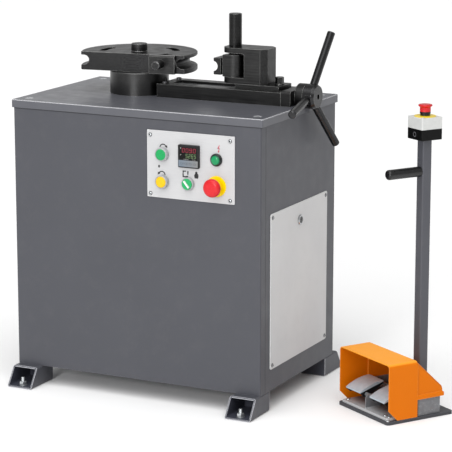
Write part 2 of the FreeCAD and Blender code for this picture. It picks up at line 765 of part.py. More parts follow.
def button_cap():
    """Lit push cap with its stem."""
    top = BUTTON_PROUD + CAP_PROUD
    under = top - CAP_THICK
    crown = CAP_PROUD / 4
    return turned([
        (0, STEM_SHORT - DEVICE_DEPTH),
        (DEVICE_STEM, STEM_SHORT - DEVICE_DEPTH),
        (DEVICE_STEM, under),
        (BUTTON_CAP, under),
        (BUTTON_CAP, top - FINE_EDGE - crown),
        (BUTTON_CAP - FINE_EDGE, top - crown),
        (BUTTON_CAP / 2, top),
        (0, top),
    ])


def pilot_lamp():
    """Pilot lamp with a domed lens in a narrow bezel."""
    front = [
        (LAMP_BEZEL, 0),
        (LAMP_BEZEL, LAMP_PROUD - LAMP_EDGE),
        (LAMP_BEZEL - LAMP_EDGE, LAMP_PROUD),
    ]
    steps = 6
    for step in range(steps + 1):
        angle = math.radians(90 * step / steps)
        front.append((LAMP_LENS * math.cos(angle), LAMP_PROUD + LAMP_LENS_RISE * math.sin(angle)))
    back = -DEVICE_DEPTH
    body = turned([(0, back), (DEVICE_BARREL, back), (DEVICE_BARREL, 0)] + front)
    wide = CONTACT_WIDTH / 2
    block = box(-wide, wide, -wide, wide, back - CONTACT_DEPTH / 2, back)
    return body.fuse(block)


def selector_bezel():
    """Fixed ring round the selector knob."""
    return device_body(cup_front(SELECTOR_BEZEL, SELECTOR_PROUD, BUTTON_CAP + RUN_GAP, BEZEL_FLOOR))


def selector_knob():
    """Selector knob with a raised grip bar across its face."""
    face = SELECTOR_PROUD + SELECTOR_KNOB_PROUD
    under = BEZEL_FLOOR + 2 * RUN_GAP
    knob = turned([
        (0, STEM_SHORT - DEVICE_DEPTH),
        (DEVICE_STEM, STEM_SHORT - DEVICE_DEPTH),
        (DEVICE_STEM, under),
        (BUTTON_CAP, under),
        (BUTTON_CAP, face - FINE_EDGE),
        (BUTTON_CAP - FINE_EDGE, face),
        (0, face),
    ])
    bar = rounded_bar(
        SELECTOR_BAR_WIDTH,
        SELECTOR_BAR_LENGTH,
        SELECTOR_BAR_WIDTH * 0.49,
        SELECTOR_BAR_PROUD + FINE_EDGE,
    )
    bar.translate(Vector(0, 0, face - FINE_EDGE))
    top = face + SELECTOR_BAR_PROUD
    bar = rounded_edges(bar, FINE_EDGE, lambda e: near(middle(e).z, top))
    knob = knob.fuse(bar)
    knob.rotate(Vector(0, 0, 0), UP, -SELECTOR_REST_DEG)
    return knob


def stop_collar():
    """Emergency stop's yellow disc with its collar and contact block."""
    stem = DEVICE_STEM + RUN_GAP
    front = [
        (STOP_DISC, 0),
        (STOP_DISC, STOP_DISC_THICK),
        (STOP_COLLAR, STOP_DISC_THICK),
        (STOP_COLLAR, STOP_COLLAR_PROUD - FINE_EDGE),
        (STOP_COLLAR - FINE_EDGE, STOP_COLLAR_PROUD),
        (stem, STOP_COLLAR_PROUD),
    ]
    return device_body(front)


def stop_head():
    """Mushroom head of the emergency stop with a round crown."""
    crown = STOP_HEAD_PROUD
    neck = STOP_COLLAR_PROUD + STOP_TRAVEL
    rim = crown - STOP_HEAD_THICK
    brow = crown - STOP_HEAD_THICK * 0.7
    top = Vector(STOP_HEAD * 0.6, 0, crown - CAP_PROUD)
    points = [
        Vector(0, 0, STEM_SHORT - DEVICE_DEPTH),
        Vector(DEVICE_STEM, 0, STEM_SHORT - DEVICE_DEPTH),
        Vector(DEVICE_STEM, 0, neck),
        Vector(STOP_COLLAR - FINE_EDGE, 0, neck),
        Vector(STOP_HEAD - EDGE, 0, rim - EDGE),
        Vector(STOP_HEAD, 0, rim),
        Vector(STOP_HEAD, 0, brow),
    ]
    lines = [Part.makeLine(a, b) for a, b in zip(points, points[1:])]
    shoulder = Vector(STOP_HEAD * 0.86, 0, crown - STOP_HEAD_THICK * 0.23)
    crown_arc = Part.Arc(points[-1], shoulder, top).toShape()
    flat = Part.makeLine(top, Vector(0, 0, crown))
    axis = Part.makeLine(Vector(0, 0, crown), points[0])
    wire = Part.Wire(lines + [crown_arc, flat, axis])
    return Part.Face(wire).revolve(Vector(0, 0, 0), UP, 360)


def controller():
    """Square digital controller with a recessed display and a row of keys."""
    half = CONTROLLER_SIDE / 2
    frame = rounded_bar(CONTROLLER_SIDE, CONTROLLER_SIDE, CONTROLLER_CORNER, CONTROLLER_PROUD)
    frame = bevelled_edges(frame, FINE_EDGE, lambda e: near(middle(e).z, CONTROLLER_PROUD))
    width = CONTROLLER_SIDE - 2 * CONTROLLER_RIM
    window = rounded_bar(width, DISPLAY_HEIGHT, FINE_EDGE, DISPLAY_DEPTH + PAST)
    window.translate(Vector(0, DISPLAY_RISE, CONTROLLER_PROUD - DISPLAY_DEPTH))
    frame = frame.cut(window)
    body_half = CONTROLLER_BODY / 2
    body = box(-body_half, body_half, -body_half, body_half, -CONTROLLER_DEPTH, 0.0)
    shape = frame.fuse(body)
    pitch = width / KEY_COUNT
    for index in range(KEY_COUNT):
        key = rounded_bar(pitch - KEY_GAP, KEY_HEIGHT, FINE_EDGE, KEY_PROUD + PAST)
        x = (index - (KEY_COUNT - 1) / 2) * pitch
        key.translate(Vector(x, KEY_RISE - half, CONTROLLER_PROUD - PAST))
        shape = shape.fuse(key)
    return shape


# Drive


def hub_housing():
    """Bearing housing that stands on the table and centres in its bore."""
    top = DIE_BOTTOM - HUB_DIE_GAP
    bore = SHAFT_RADIUS + SLIDE_FIT
    body = turned([
        (bore, TABLE_UNDER),
        (HUB_SPIGOT, TABLE_UNDER),
        (HUB_SPIGOT, TABLE_HEIGHT),
        (HUB_RADIUS, TABLE_HEIGHT),
        (HUB_RADIUS, top - EDGE),
        (HUB_RADIUS - EDGE, top),
        (bore, top),
    ])
    body.translate(Vector(DIE_X, BEND_LINE_Y, 0))
    return body


def gearbox():
    """Reduction gearbox hung under the table on the shaft's line."""
    half_l = GEARBOX_LENGTH / 2
    low = TABLE_UNDER - GEARBOX_HEIGHT
    body = rounded_bar(GEARBOX_LENGTH, GEARBOX_WIDTH, GEARBOX_CORNER, GEARBOX_HEIGHT)
    body.translate(Vector(DIE_X, BEND_LINE_Y, low))
    body = bevelled_edges(body, GEARBOX_EDGE, lambda e: near(middle(e).z, low))
    face = Vector(DIE_X + half_l, BEND_LINE_Y, low + GEARBOX_HEIGHT / 2)
    flange = rod(MOTOR_FLANGE_RADIUS, face, RIGHT, MOTOR_FLANGE_LENGTH)
    above = Vector(DIE_X, BEND_LINE_Y, TABLE_UNDER + PAST)
    bore = rod(SHAFT_RADIUS + SLIDE_FIT, above, DOWN, SHAFT_BELOW_TABLE + PAST)
    return body.fuse(flange).cut(bore)


def drive_motor():
    """Electric motor flanged to the gearbox, with its fan cowl."""
    start = DIE_X + GEARBOX_LENGTH / 2 + MOTOR_FLANGE_LENGTH
    main = MOTOR_LENGTH - MOTOR_COWL_LENGTH
    body = turned([
        (0, 0),
        (MOTOR_RADIUS - MOTOR_EDGE, 0),
        (MOTOR_RADIUS, MOTOR_EDGE),
        (MOTOR_RADIUS, main),
        (MOTOR_COWL_RADIUS, main),
        (MOTOR_COWL_RADIUS, MOTOR_LENGTH - MOTOR_EDGE),
        (MOTOR_COWL_RADIUS - MOTOR_EDGE, MOTOR_LENGTH),
        (0, MOTOR_LENGTH),
    ])
    return aimed(body, RIGHT, Vector(start, BEND_LINE_Y, TABLE_UNDER - GEARBOX_HEIGHT / 2))


def main_shaft():
    """Bending shaft from the gearbox up through the housing and the die to a finer free end."""
    low = TABLE_UNDER - SHAFT_BELOW_TABLE + RUN_GAP
    shoulder = DIE_TOP + SHAFT_SHOULDER
    top = DIE_TOP + SHAFT_ABOVE_DIE
    shaft = turned([
        (0, low),
        (SHAFT_RADIUS, low),
        (SHAFT_RADIUS, shoulder),
        (SHAFT_END_RADIUS, shoulder),
        (SHAFT_END_RADIUS, top - SHAFT_CHAMFER),
        (SHAFT_END_RADIUS - SHAFT_CHAMFER, top),
        (0, top),
    ])
    shaft.translate(Vector(DIE_X, BEND_LINE_Y, 0))
    return shaft


# Bending die


def die_turned(shape):
    """Turn a piece of the die set to its rest angle about the shaft."""
    result = shape.copy()
    result.rotate(Vector(0, 0, 0), UP, DIE_REST_DEG)
    result.translate(Vector(DIE_X, BEND_LINE_Y, 0))
    return result


def kidney_slot(angle_deg):
    """A through slot along an arc about the die's axis."""
    inner = SLOT_RADIUS - SLOT_HALF_WIDTH
    outer = SLOT_RADIUS + SLOT_HALF_WIDTH
    half = math.radians(SLOT_HALF_SWEEP_DEG)
    mid = math.radians(angle_deg)

    def polar(radius, angle):
        return Vector(radius * math.cos(angle), radius * math.sin(angle), 0)

    def cap(angle, outward):
        tangent = Vector(-math.sin(angle), math.cos(angle), 0).multiply(outward * SLOT_HALF_WIDTH)
        return polar(SLOT_RADIUS, angle).add(tangent)

    first = mid - half
    last = mid + half
    edges = [
        Part.Arc(polar(outer, first), polar(outer, mid), polar(outer, last)),
        Part.Arc(polar(outer, last), cap(last, 1), polar(inner, last)),
        Part.Arc(polar(inner, last), polar(inner, mid), polar(inner, first)),
        Part.Arc(polar(inner, first), cap(first, -1), polar(outer, first)),
    ]
    wire = Part.Wire([edge.toShape() for edge in edges])
    slot = Part.Face(wire).extrude(Vector(0, 0, DIE_TOP - DIE_BOTTOM + 2 * PAST))
    slot.translate(Vector(0, 0, DIE_BOTTOM - PAST))
    return slot


def die_blank():
    """Grooved disc: a flat bottom, a flat top and a deep round bottomed groove."""
    rim = DIE_RADIUS
    edge = DIE_RIM_CHAMFER
    bore = SHAFT_RADIUS + SEAT_FIT
    straight = rim - DIE_GROOVE_DEPTH + TUBE_RADIUS
    low = TUBE_Z - TUBE_RADIUS
    high = TUBE_Z + TUBE_RADIUS
    lines = [
        (bore, DIE_BOTTOM),
        (rim - edge, DIE_BOTTOM),
        (rim, DIE_BOTTOM + edge),
        (rim, low - edge),
        (rim - edge, low),
        (straight, low),
    ]
    upper = [
        (straight, high),
        (rim - edge, high),
        (rim, high + edge),
        (rim, DIE_TOP - edge),
        (rim - edge, DIE_TOP),
        (bore, DIE_TOP),
    ]
    first = [Vector(r, 0, z) for r, z in lines]
    second = [Vector(r, 0, z) for r, z in upper]
    edges = [Part.makeLine(a, b) for a, b in zip(first, first[1:])]
    groove = Part.Arc(first[-1], Vector(straight - TUBE_RADIUS, 0, TUBE_Z), second[0])
    edges.append(groove.toShape())
    edges += [Part.makeLine(a, b) for a, b in zip(second, second[1:])]
    edges.append(Part.makeLine(second[-1], first[0]))
    return Part.Face(Part.Wire(edges)).revolve(Vector(0, 0, 0), UP, 360)


def bending_die():
    """Die with its front cut flat and three kidney slots, one of which opens at the flat."""
    far = 2 * DIE_RADIUS
    cut_off = box(-far, far, -far, -DIE_FLAT, DIE_BOTTOM - PAST, DIE_TOP + PAST)
    die = die_blank().cut(cut_off)
    for angle in SLOT_ANGLES:
        die = die.cut(kidney_slot(angle))
    return die_turned(die)


def clamp_block():
    """Block on the die's flat that carries the clamp pin."""
    right = CLAMP_LEFT + CLAMP_WIDTH
    front = -DIE_FLAT - CLAMP_THICK
    block = box(CLAMP_LEFT, right, front, -DIE_FLAT, DIE_BOTTOM, DIE_TOP)
    block = bevelled_edges(
        block,
        CLAMP_THICK / 5,
        lambda e: runs_along(e, RIGHT) and near(middle(e).y, front) and near(middle(e).z, DIE_TOP),
    )
    ahead = Vector(CLAMP_PIN_X, front - PAST, TUBE_Z)
    hole = rod(CLAMP_PIN_RADIUS + SEAT_FIT, ahead, BACK, CLAMP_THICK + 2 * PAST)
    return die_turned(block.cut(hole))


def clamp_pin():
    """Round pin that stands out of the clamp block towards the operator."""
    tip = -DIE_FLAT - CLAMP_THICK - CLAMP_PIN_REACH
    length = CLAMP_PIN_REACH + CLAMP_THICK
    pin = rod(CLAMP_PIN_RADIUS, Vector(CLAMP_PIN_X, tip, TUBE_Z), BACK, length)
    pin = bevelled_edges(pin, EDGE, lambda e: near(middle(e).y, tip))
    return die_turned(pin)


# Slide and screw


def slot_profile(top, gap, height):
    """Half outlines of the slide's inverted T, narrowed by a gap."""
    narrow = SLOT_TOP_WIDTH / 2 - gap
    wide = SLOT_FOOT_WIDTH / 2 - gap
    shoulder = SLOT_FOOT_TOP - gap
    floor = SLOT_FLOOR + gap
    points = [
        (-wide, floor),
        (wide, floor),
        (wide, shoulder),
        (narrow, shoulder),
        (narrow, height),
        (-narrow, height),
        (-narrow, shoulder),
        (-wide, shoulder),
    ]
    return [Vector(top, BEND_LINE_Y + y, TABLE_HEIGHT + z) for y, z in points]


def slide_base():
    """Long base with an inverted T slot, closed at its left end."""
    length = BLOCK_LEFT - SLIDE_LEFT
    half = SLIDE_WIDTH / 2
    base = box(
        SLIDE_LEFT,
        BLOCK_LEFT,
        BEND_LINE_Y - half,
        BEND_LINE_Y + half,
        TABLE_HEIGHT,
        TABLE_HEIGHT + SLIDE_HEIGHT,
    )
    top = TABLE_HEIGHT + SLIDE_HEIGHT
    base = bevelled_edges(base, FINE_EDGE, lambda e: near(middle(e).z, top) and not near(middle(e).x, BLOCK_LEFT))
    slot = prism(slot_profile(CHANNEL_LEFT, 0.0, SLIDE_HEIGHT + PAST), Vector(length, 0, 0))
    bottom = Vector(CHANNEL_LEFT - SCREW_TAIL_DEPTH, BEND_LINE_Y, SCREW_Z)
    tail = rod(SCREW_TAIL + SLIDE_FIT, bottom, RIGHT, SCREW_TAIL_DEPTH + PAST)
    return base.cut(slot).cut(tail)


def end_block():
    """Bearing block at the slide's right end, with a round boss cut flat where it meets the table."""
    half = SLIDE_WIDTH / 2
    block = box(
        BLOCK_LEFT,
        BLOCK_RIGHT,
        BEND_LINE_Y - half,
        BEND_LINE_Y + half,
        TABLE_HEIGHT,
        TABLE_HEIGHT + BLOCK_HEIGHT,
    )
    top = TABLE_HEIGHT + BLOCK_HEIGHT
    block = rounded_edges(block, BLOCK_CORNER, lambda e: runs_along(e, RIGHT) and near(middle(e).z, top))
    end = HANDLE_LEFT - RUN_GAP
    radius = HANDLE_HUB_RADIUS
    boss = rod(radius, Vector(BLOCK_RIGHT, BEND_LINE_Y, SCREW_Z), RIGHT, end - BLOCK_RIGHT)
    below = box(BLOCK_RIGHT, end, BEND_LINE_Y - half, BEND_LINE_Y + half, TABLE_HEIGHT - radius, TABLE_HEIGHT)
    ahead = Vector(BLOCK_LEFT - PAST, BEND_LINE_Y, SCREW_Z)
    bore = rod(SCREW_JOURNAL + SLIDE_FIT, ahead, RIGHT, end - BLOCK_LEFT + 2 * PAST)
    return block.fuse(boss.cut(below)).removeSplitter().cut(bore)


def lead_screw():
    """Screw with a tail journal, a threaded length and a bearing journal that seats in the hub."""
    tail = CHANNEL_LEFT - SCREW_TAIL_DEPTH + 2 * RUN_GAP
    thread = CHANNEL_LEFT + RUN_GAP
    journal = BLOCK_LEFT - RUN_GAP
    end = HANDLE_LEFT + SCREW_END_SEAT
    stations = [
        (0, tail),
        (SCREW_TAIL, tail),
        (SCREW_TAIL, thread),
        (SCREW_RADIUS, thread),
        (SCREW_RADIUS, journal),
        (SCREW_JOURNAL, journal),
        (SCREW_JOURNAL, end),
        (0, end),
    ]
    screw = turned([(r, x - tail) for r, x in stations])
    return aimed(screw, RIGHT, Vector(tail, BEND_LINE_Y, SCREW_Z))


def arm_direction(index):
    """Direction of one handle arm: spread evenly round the hub and leaning out."""
    tilt = math.radians(ARM_TILT_DEG)
    turn = math.radians(180 + ARM_REST_DEG + index * 360.0 / ARM_COUNT)
    radial = math.cos(tilt)
    return Vector(math.sin(tilt), radial * math.cos(turn), radial * math.sin(turn))


def handle_hub():
    """Turned hub with a stepped seat for each arm and a recess in its end face."""
    bore = SCREW_JOURNAL + SEAT_FIT
    depth = SCREW_END_SEAT + RUN_GAP
    length = HANDLE_HUB_LENGTH
    recess = length - HANDLE_RECESS_DEPTH
    hub = turned([
        (bore, 0),
        (HANDLE_HUB_RADIUS - FINE_EDGE, 0),
        (HANDLE_HUB_RADIUS, FINE_EDGE),
        (HANDLE_HUB_RADIUS, length - HANDLE_NOSE_LENGTH),
        (HANDLE_NOSE_RADIUS, length),
        (HANDLE_RECESS, length),
        (HANDLE_RECESS, recess),
        (0, recess),
        (0, depth),
        (bore, depth),
    ])
    hub = aimed(hub, RIGHT, Vector(HANDLE_LEFT, BEND_LINE_Y, SCREW_Z))
    for index in range(ARM_COUNT):
        direction = arm_direction(index)
        start = Vector(ARM_X, BEND_LINE_Y, SCREW_Z).add(direction * ARM_SEAT)
        hub = hub.cut(rod(ARM_RADIUS + SEAT_FIT, start, direction, ARM_LENGTH))
        hub = hub.cut(rod(ARM_STUD + SEAT_FIT, start, direction * -1, ARM_STUD_LENGTH + RUN_GAP))
    return hub


def handle_arm(index):
    """Plain round arm with a thinner stud that screws into the hub."""
    direction = arm_direction(index)
    seat = ARM_SEAT + RUN_GAP
    start = Vector(ARM_X, BEND_LINE_Y, SCREW_Z).add(direction * seat)
    arm = rod(ARM_RADIUS, Vector(0, 0, 0), UP, ARM_LENGTH - seat)
    arm = rounded_edges(arm, ARM_TIP_ROUND, lambda e: near(middle(e).z, ARM_LENGTH - seat))
    stud = rod(ARM_STUD, Vector(0, 0, 0), DOWN, ARM_STUD_LENGTH)
    return aimed(arm.fuse(stud), direction, start)


# Carriage


def carriage_base():
    """Carriage plate with the inverted T tongue that runs in the slide."""
    low = SLIDE_HEIGHT + RUN_GAP
    half = CARRIAGE_WIDTH / 2
    along = Vector(CARRIAGE_LENGTH, 0, 0)
    tongue = prism(slot_profile(CARRIAGE_LEFT, RUN_GAP, low + PAST), along)
    plate = box(
        CARRIAGE_LEFT,
        CARRIAGE_RIGHT,
        BEND_LINE_Y - half,
        BEND_LINE_Y + half,
        TABLE_HEIGHT + low,
        CARRIAGE_TOP_Z,
    )
    body = plate.fuse(tongue).removeSplitter()
    ahead = Vector(CARRIAGE_LEFT - PAST, BEND_LINE_Y, SCREW_Z)
    nut = rod(SCREW_RADIUS + SLIDE_FIT, ahead, RIGHT, CARRIAGE_LENGTH + 2 * PAST)
    bolt = rod(CLAMP_BOLT_RADIUS + SEAT_FIT, Vector(CLAMP_BOLT_X, BEND_LINE_Y, CARRIAGE_TOP_Z), DOWN, CLAMP_BOLT_DEPTH)
    return body.cut(nut).cut(bolt)


def fork_block():
    """Fork with a round nose and a chamfered tail; its window holds the swivel holder."""
    half = CARRIAGE_WIDTH / 2
    body = box(
        FORK_LEFT,
        FORK_RIGHT,
        BEND_LINE_Y - half,
        BEND_LINE_Y + half,
        CARRIAGE_TOP_Z,
        CARRIAGE_TOP_Z + FORK_HEIGHT,
    )
    body = rounded_edges(body, FORK_NOSE_RADIUS, lambda e: runs_along(e, UP) and near(middle(e).x, FORK_LEFT))
    body = bevelled_edges(body, FORK_TAIL_CHAMFER, lambda e: runs_along(e, UP) and near(middle(e).x, FORK_RIGHT))
    window = box(
        FORK_LEFT - PAST,
        FORK_LEFT + FORK_WINDOW,
        BEND_LINE_Y - half - PAST,
        BEND_LINE_Y + half + PAST,
        WINDOW_BOTTOM,
        WINDOW_TOP,
    )
    below = Vector(PIVOT_X, BEND_LINE_Y, CARRIAGE_TOP_Z - PAST)
    bore = rod(PIVOT_RADIUS + SLIDE_FIT, below, UP, FORK_HEIGHT + 2 * PAST)
    return body.cut(window).cut(bore)


def carriage_bolt():
    """Hexagon bolt with a washer on the carriage plate."""
    centre = Vector(CLAMP_BOLT_X, BEND_LINE_Y, CARRIAGE_TOP_Z)
    washer = rod(CLAMP_WASHER_RADIUS, centre, UP, CLAMP_WASHER_THICK)
    head = hexagon(CLAMP_BOLT_FLATS, CLAMP_BOLT_HEIGHT)
    round_off = turned([
        (0, -PAST),
        (CLAMP_BOLT_FLATS, -PAST),
        (CLAMP_BOLT_FLATS, CLAMP_BOLT_HEIGHT - CLAMP_BOLT_FLATS * 0.35),
        (CLAMP_BOLT_FLATS * 0.5, CLAMP_BOLT_HEIGHT),
        (0, CLAMP_BOLT_HEIGHT),
    ])
    head = head.common(round_off)
    head.translate(centre + Vector(0, 0, CLAMP_WASHER_THICK))
    shank = rod(CLAMP_BOLT_RADIUS, centre, DOWN, CLAMP_BOLT_DEPTH - RUN_GAP)
    return head.fuse(washer).fuse(shank)


def pivot_pin():
    """Plain pin through both arms of the fork and the holder."""
    low = CARRIAGE_TOP_Z + RUN_GAP
    pin = rod(PIVOT_RADIUS, Vector(PIVOT_X, BEND_LINE_Y, low), UP, PIVOT_LENGTH)
    return bevelled_edges(pin, EDGE, lambda e: near(middle(e).z, low + PIVOT_LENGTH))


def die_holder():
    """Swivel holder: a half round back, straight flanks and a flat tenoned face."""
    low = WINDOW_BOTTOM + RUN_GAP
    high = WINDOW_TOP - HOLDER_TOP_GAP
    body = rod(HOLDER_RADIUS, Vector(PIVOT_X, BEND_LINE_Y, low), UP, high - low)
    flank = box(
        PIVOT_X - HOLDER_FACE,
        PIVOT_X,
        BEND_LINE_Y - HOLDER_RADIUS,
        BEND_LINE_Y + HOLDER_RADIUS,
        low,
        high,
    )
    waste = box(
        PIVOT_X - 2 * HOLDER_RADIUS,
        PIVOT_X - HOLDER_FACE,
        BEND_LINE_Y - 2 * HOLDER_RADIUS,
        BEND_LINE_Y + 2 * HOLDER_RADIUS,
        low - PAST,
        high + PAST,
    )
    body = body.fuse(flank).cut(waste).removeSplitter()
    body = bevelled_edges(
        body,
        FINE_EDGE,
        lambda e: near(middle(e).z, high) and near(middle(e).x, PIVOT_X - HOLDER_FACE),
    )
    bore = rod(PIVOT_RADIUS + SLIDE_FIT, Vector(PIVOT_X, BEND_LINE_Y, low - PAST), UP, high - low + 2 * PAST)
    half = TENON_WIDTH / 2 + SEAT_FIT
    slot = box(
        PIVOT_X - HOLDER_FACE - PAST,
        PIVOT_X - HOLDER_FACE + TENON_DEPTH + RUN_GAP,
        BEND_LINE_Y - half,
        BEND_LINE_Y + half,
        low - PAST,
        high + PAST,
    )
    return body.cut(bore).cut(slot)


def counter_die():
    """Counter die with a round groove along the tube and a tenon at its back."""
    back = PIVOT_X - HOLDER_FACE - COUNTER_STANDOFF
    face = back - COUNTER_THICK
    half = COUNTER_LENGTH / 2
    low = TUBE_Z - COUNTER_HEIGHT / 2
    high = TUBE_Z + COUNTER_HEIGHT / 2
    body = box(face, back, BEND_LINE_Y - half, BEND_LINE_Y + half, low, high)
    body = bevelled_edges(body, FINE_EDGE, lambda e: runs_along(e, BACK) and near(middle(e).x, face))
    axis_x = face + COUNTER_GROOVE_DEPTH - TUBE_RADIUS
    ahead = Vector(axis_x, BEND_LINE_Y - half - PAST, TUBE_Z)
    groove = rod(TUBE_RADIUS, ahead, BACK, COUNTER_LENGTH + 2 * PAST)
    tenon = box(
        back - PAST,
        PIVOT_X - HOLDER_FACE + TENON_DEPTH,
        BEND_LINE_Y - TENON_WIDTH / 2,
        BEND_LINE_Y + TENON_WIDTH / 2,
        low,
        high,
    )
    return body.cut(groove).fuse(tenon).removeSplitter()


# Pedal station


def at_station(shape):
    """Move a piece from the station's own frame to its place on the floor."""
    result = shape.copy()
    turn = FreeCAD.Rotation(UP, STATION_TURN_DEG)
    place = FreeCAD.Placement(Vector(STATION_X, STATION_Y, 0), turn)
    result.Placement = place.multiply(shape.Placement)
    return result


def station_plate():
    """Steel floor plate of the station."""
    plate = rounded_bar(PLATE_WIDTH, PLATE_DEPTH, PLATE_CORNER, PLATE_THICK)
    plate.translate(Vector(0, PLATE_DEPTH / 2 - PLATE_FRONT, 0))
    return bevelled_edges(plate, FINE_EDGE, lambda e: near(middle(e).z, PLATE_THICK))


def pedal_base():
    """Cast base: floor slab, open rear housing and a thin centre web with the pin's boss."""
    depth = HOUSING_END - SLAB_FRONT
    slab = rounded_bar(SLAB_WIDTH, depth, SLAB_CORNER, SLAB_THICK)
    slab.translate(Vector(0, SLAB_FRONT + depth / 2, PLATE_THICK))
    slab = bevelled_edges(slab, EDGE, lambda e: near(middle(e).z, SLAB_TOP))
    half = HOOD_HALF - GUARD_WALL - RUN_GAP
    top = PLATE_THICK + HOUSING_HEIGHT
    housing = box(-half, half, HOUSING_START, HOUSING_END, PLATE_THICK, top)
    housing = rounded_edges(housing, HOUSING_CORNER, lambda e: runs_along(e, UP))
    inner = half - HOUSING_WALL
    front = HOUSING_START + HOUSING_WALL
    hollow = box(-inner, inner, front, HOUSING_END - HOUSING_WALL, SLAB_TOP, top + PAST)
    base = slab.fuse(housing).cut(hollow).fuse(centre_web())
    boss_reach = PEDAL_FROM_CENTRE - RUN_GAP
    boss = rod(WEB_BOSS, Vector(-boss_reach, PEDAL_PIN_Y, PEDAL_PIN_Z), RIGHT, 2 * boss_reach)
    reach = boss_reach + PAST
    hole = rod(PEDAL_PIN_RADIUS + SEAT_FIT, Vector(-reach, PEDAL_PIN_Y, PEDAL_PIN_Z), RIGHT, 2 * reach)
    return base.fuse(boss).cut(hole)


def centre_web():
    """Thin upright web between the pedals with a round nose."""
    x = -WEB_THICK / 2
    top = PEDAL_PIN_Z + WEB_BOSS
    low = SLAB_TOP - PAST
    rear = WEB_FRONT + WEB_LENGTH
    outline = [(WEB_FRONT, low), (WEB_FRONT, top), (rear, top), (rear, low)]
    web = prism([Vector(x, y, z) for y, z in outline], Vector(WEB_THICK, 0, 0))
    return rounded_edges(
        web,
        WEB_NOSE,
        lambda e: runs_along(e, RIGHT) and near(middle(e).y, WEB_FRONT) and near(middle(e).z, top),
    )


def guard_body(half, inset):
    """Full guard outline as a solid, drawn in by a wall on every face but the front."""
    slope = (GUARD_BACK_TOP - GUARD_HEIGHT) / (GUARD_DEPTH - GUARD_ROOF_DEPTH)
    drop = inset * math.hypot(1.0, slope)
    roof = GUARD_HEIGHT - inset
    back = GUARD_DEPTH - inset
    knee = GUARD_ROOF_DEPTH + (drop - inset) / slope
    heel = GUARD_HEIGHT + slope * (back - GUARD_ROOF_DEPTH) - drop
    front = -inset
    low = GUARD_BACK_BOTTOM - inset
    outline = [(front, low), (front, roof), (knee, roof), (back, heel), (back, low)]
    body = prism([Vector(-half, y, z) for y, z in outline], Vector(2 * half, 0, 0))
    return rounded_edges(body, GUARD_ROUND - inset, lambda e: is_ridge(e, half, low))


def is_ridge(edge, half, low):
    """True for the roof's and the hood's long edges along a cheek."""
    first = edge.valueAt(edge.FirstParameter)
    last = edge.valueAt(edge.LastParameter)
    on_cheek = near(abs(first.x), half) and near(first.x, last.x)
    return on_cheek and abs(first.y - last.y) > PAST and min(first.z, last.z) > low + PAST


def pedal_guard():
    """Bent sheet guard: a sleeve open at the front and a sloping hood with a lip."""
    low = PLATE_THICK + RUN_GAP
    far = 2 * GUARD_DEPTH
    sleeve_space = box(-far, far, -PAST, GUARD_SLEEVE, GUARD_BACK_BOTTOM, far)
    sleeve = guard_body(GUARD_HALF, 0.0).common(sleeve_space)
    skirt = [
        (0, GUARD_BACK_BOTTOM),
        (0, low + GUARD_CHAMFER),
        (GUARD_CHAMFER, low),
        (GUARD_SLEEVE, low),
        (GUARD_SLEEVE, GUARD_BACK_BOTTOM),
    ]
    cheeks = prism([Vector(-GUARD_HALF, y, z) for y, z in skirt], Vector(2 * GUARD_HALF, 0, 0))
    hood = guard_body(HOOD_HALF, 0.0)
    lip = box(
        -GUARD_HALF,
        GUARD_HALF,
        GUARD_SLEEVE - GUARD_WALL,
        GUARD_DEPTH + GUARD_HOOD_INSET,
        GUARD_BACK_BOTTOM,
        GUARD_BACK_BOTTOM + GUARD_LIP,
    )
    lip_top = GUARD_BACK_BOTTOM + GUARD_LIP
    lip = rounded_edges(lip, GUARD_HOOD_INSET, lambda e: near(middle(e).z, lip_top))
    guard = sleeve.fuse([cheeks, hood, lip])
    inner = guard_body(HOOD_HALF - GUARD_WALL, GUARD_WALL)
    wide = guard_body(GUARD_HALF - GUARD_WALL, GUARD_WALL)
    wide = wide.common(box(-far, far, -far, GUARD_SLEEVE - GUARD_WALL, -far, far))
    under = GUARD_HALF - GUARD_WALL
    lower = box(-under, under, -PAST, GUARD_SLEEVE - GUARD_WALL, low - PAST, GUARD_BACK_BOTTOM)
    passage = HOOD_HALF - GUARD_WALL
    rear = box(-passage, passage, -PAST, GUARD_SLEEVE + PAST, low - PAST, GUARD_BACK_BOTTOM)
    return guard.cut([inner, wide, lower, rear]).removeSplitter()


def pedal_arc(drop):
    """Ends and middle of the tread's curve, lowered by a thickness."""
    front = Vector(0, PEDAL_FRONT, PEDAL_FRONT_HEIGHT - drop)
    rear = Vector(0, PEDAL_FRONT + PEDAL_DEPTH, PEDAL_FRONT_HEIGHT + PEDAL_RISE - drop)
    crest = (front + rear) * 0.5
    lift = Vector(0, -PEDAL_RISE, PEDAL_DEPTH)
    crest = crest + lift * (PEDAL_CROWN / lift.Length)
    return front, crest, rear


def pedal_blank(drop, bottom, width):
    """Curved top and straight sides as one solid across a width."""
    front, crest, rear = pedal_arc(drop)
    points = [rear] + [Vector(0, y, z) for y, z in bottom] + [front]
    edges = [Part.Arc(front, crest, rear).toShape()]
    edges += [Part.makeLine(a, b) for a, b in zip(points, points[1:])]
    face = Part.Face(Part.Wire(edges))
    face.translate(Vector(-width / 2, 0, 0))
    return face.extrude(Vector(width, 0, 0))


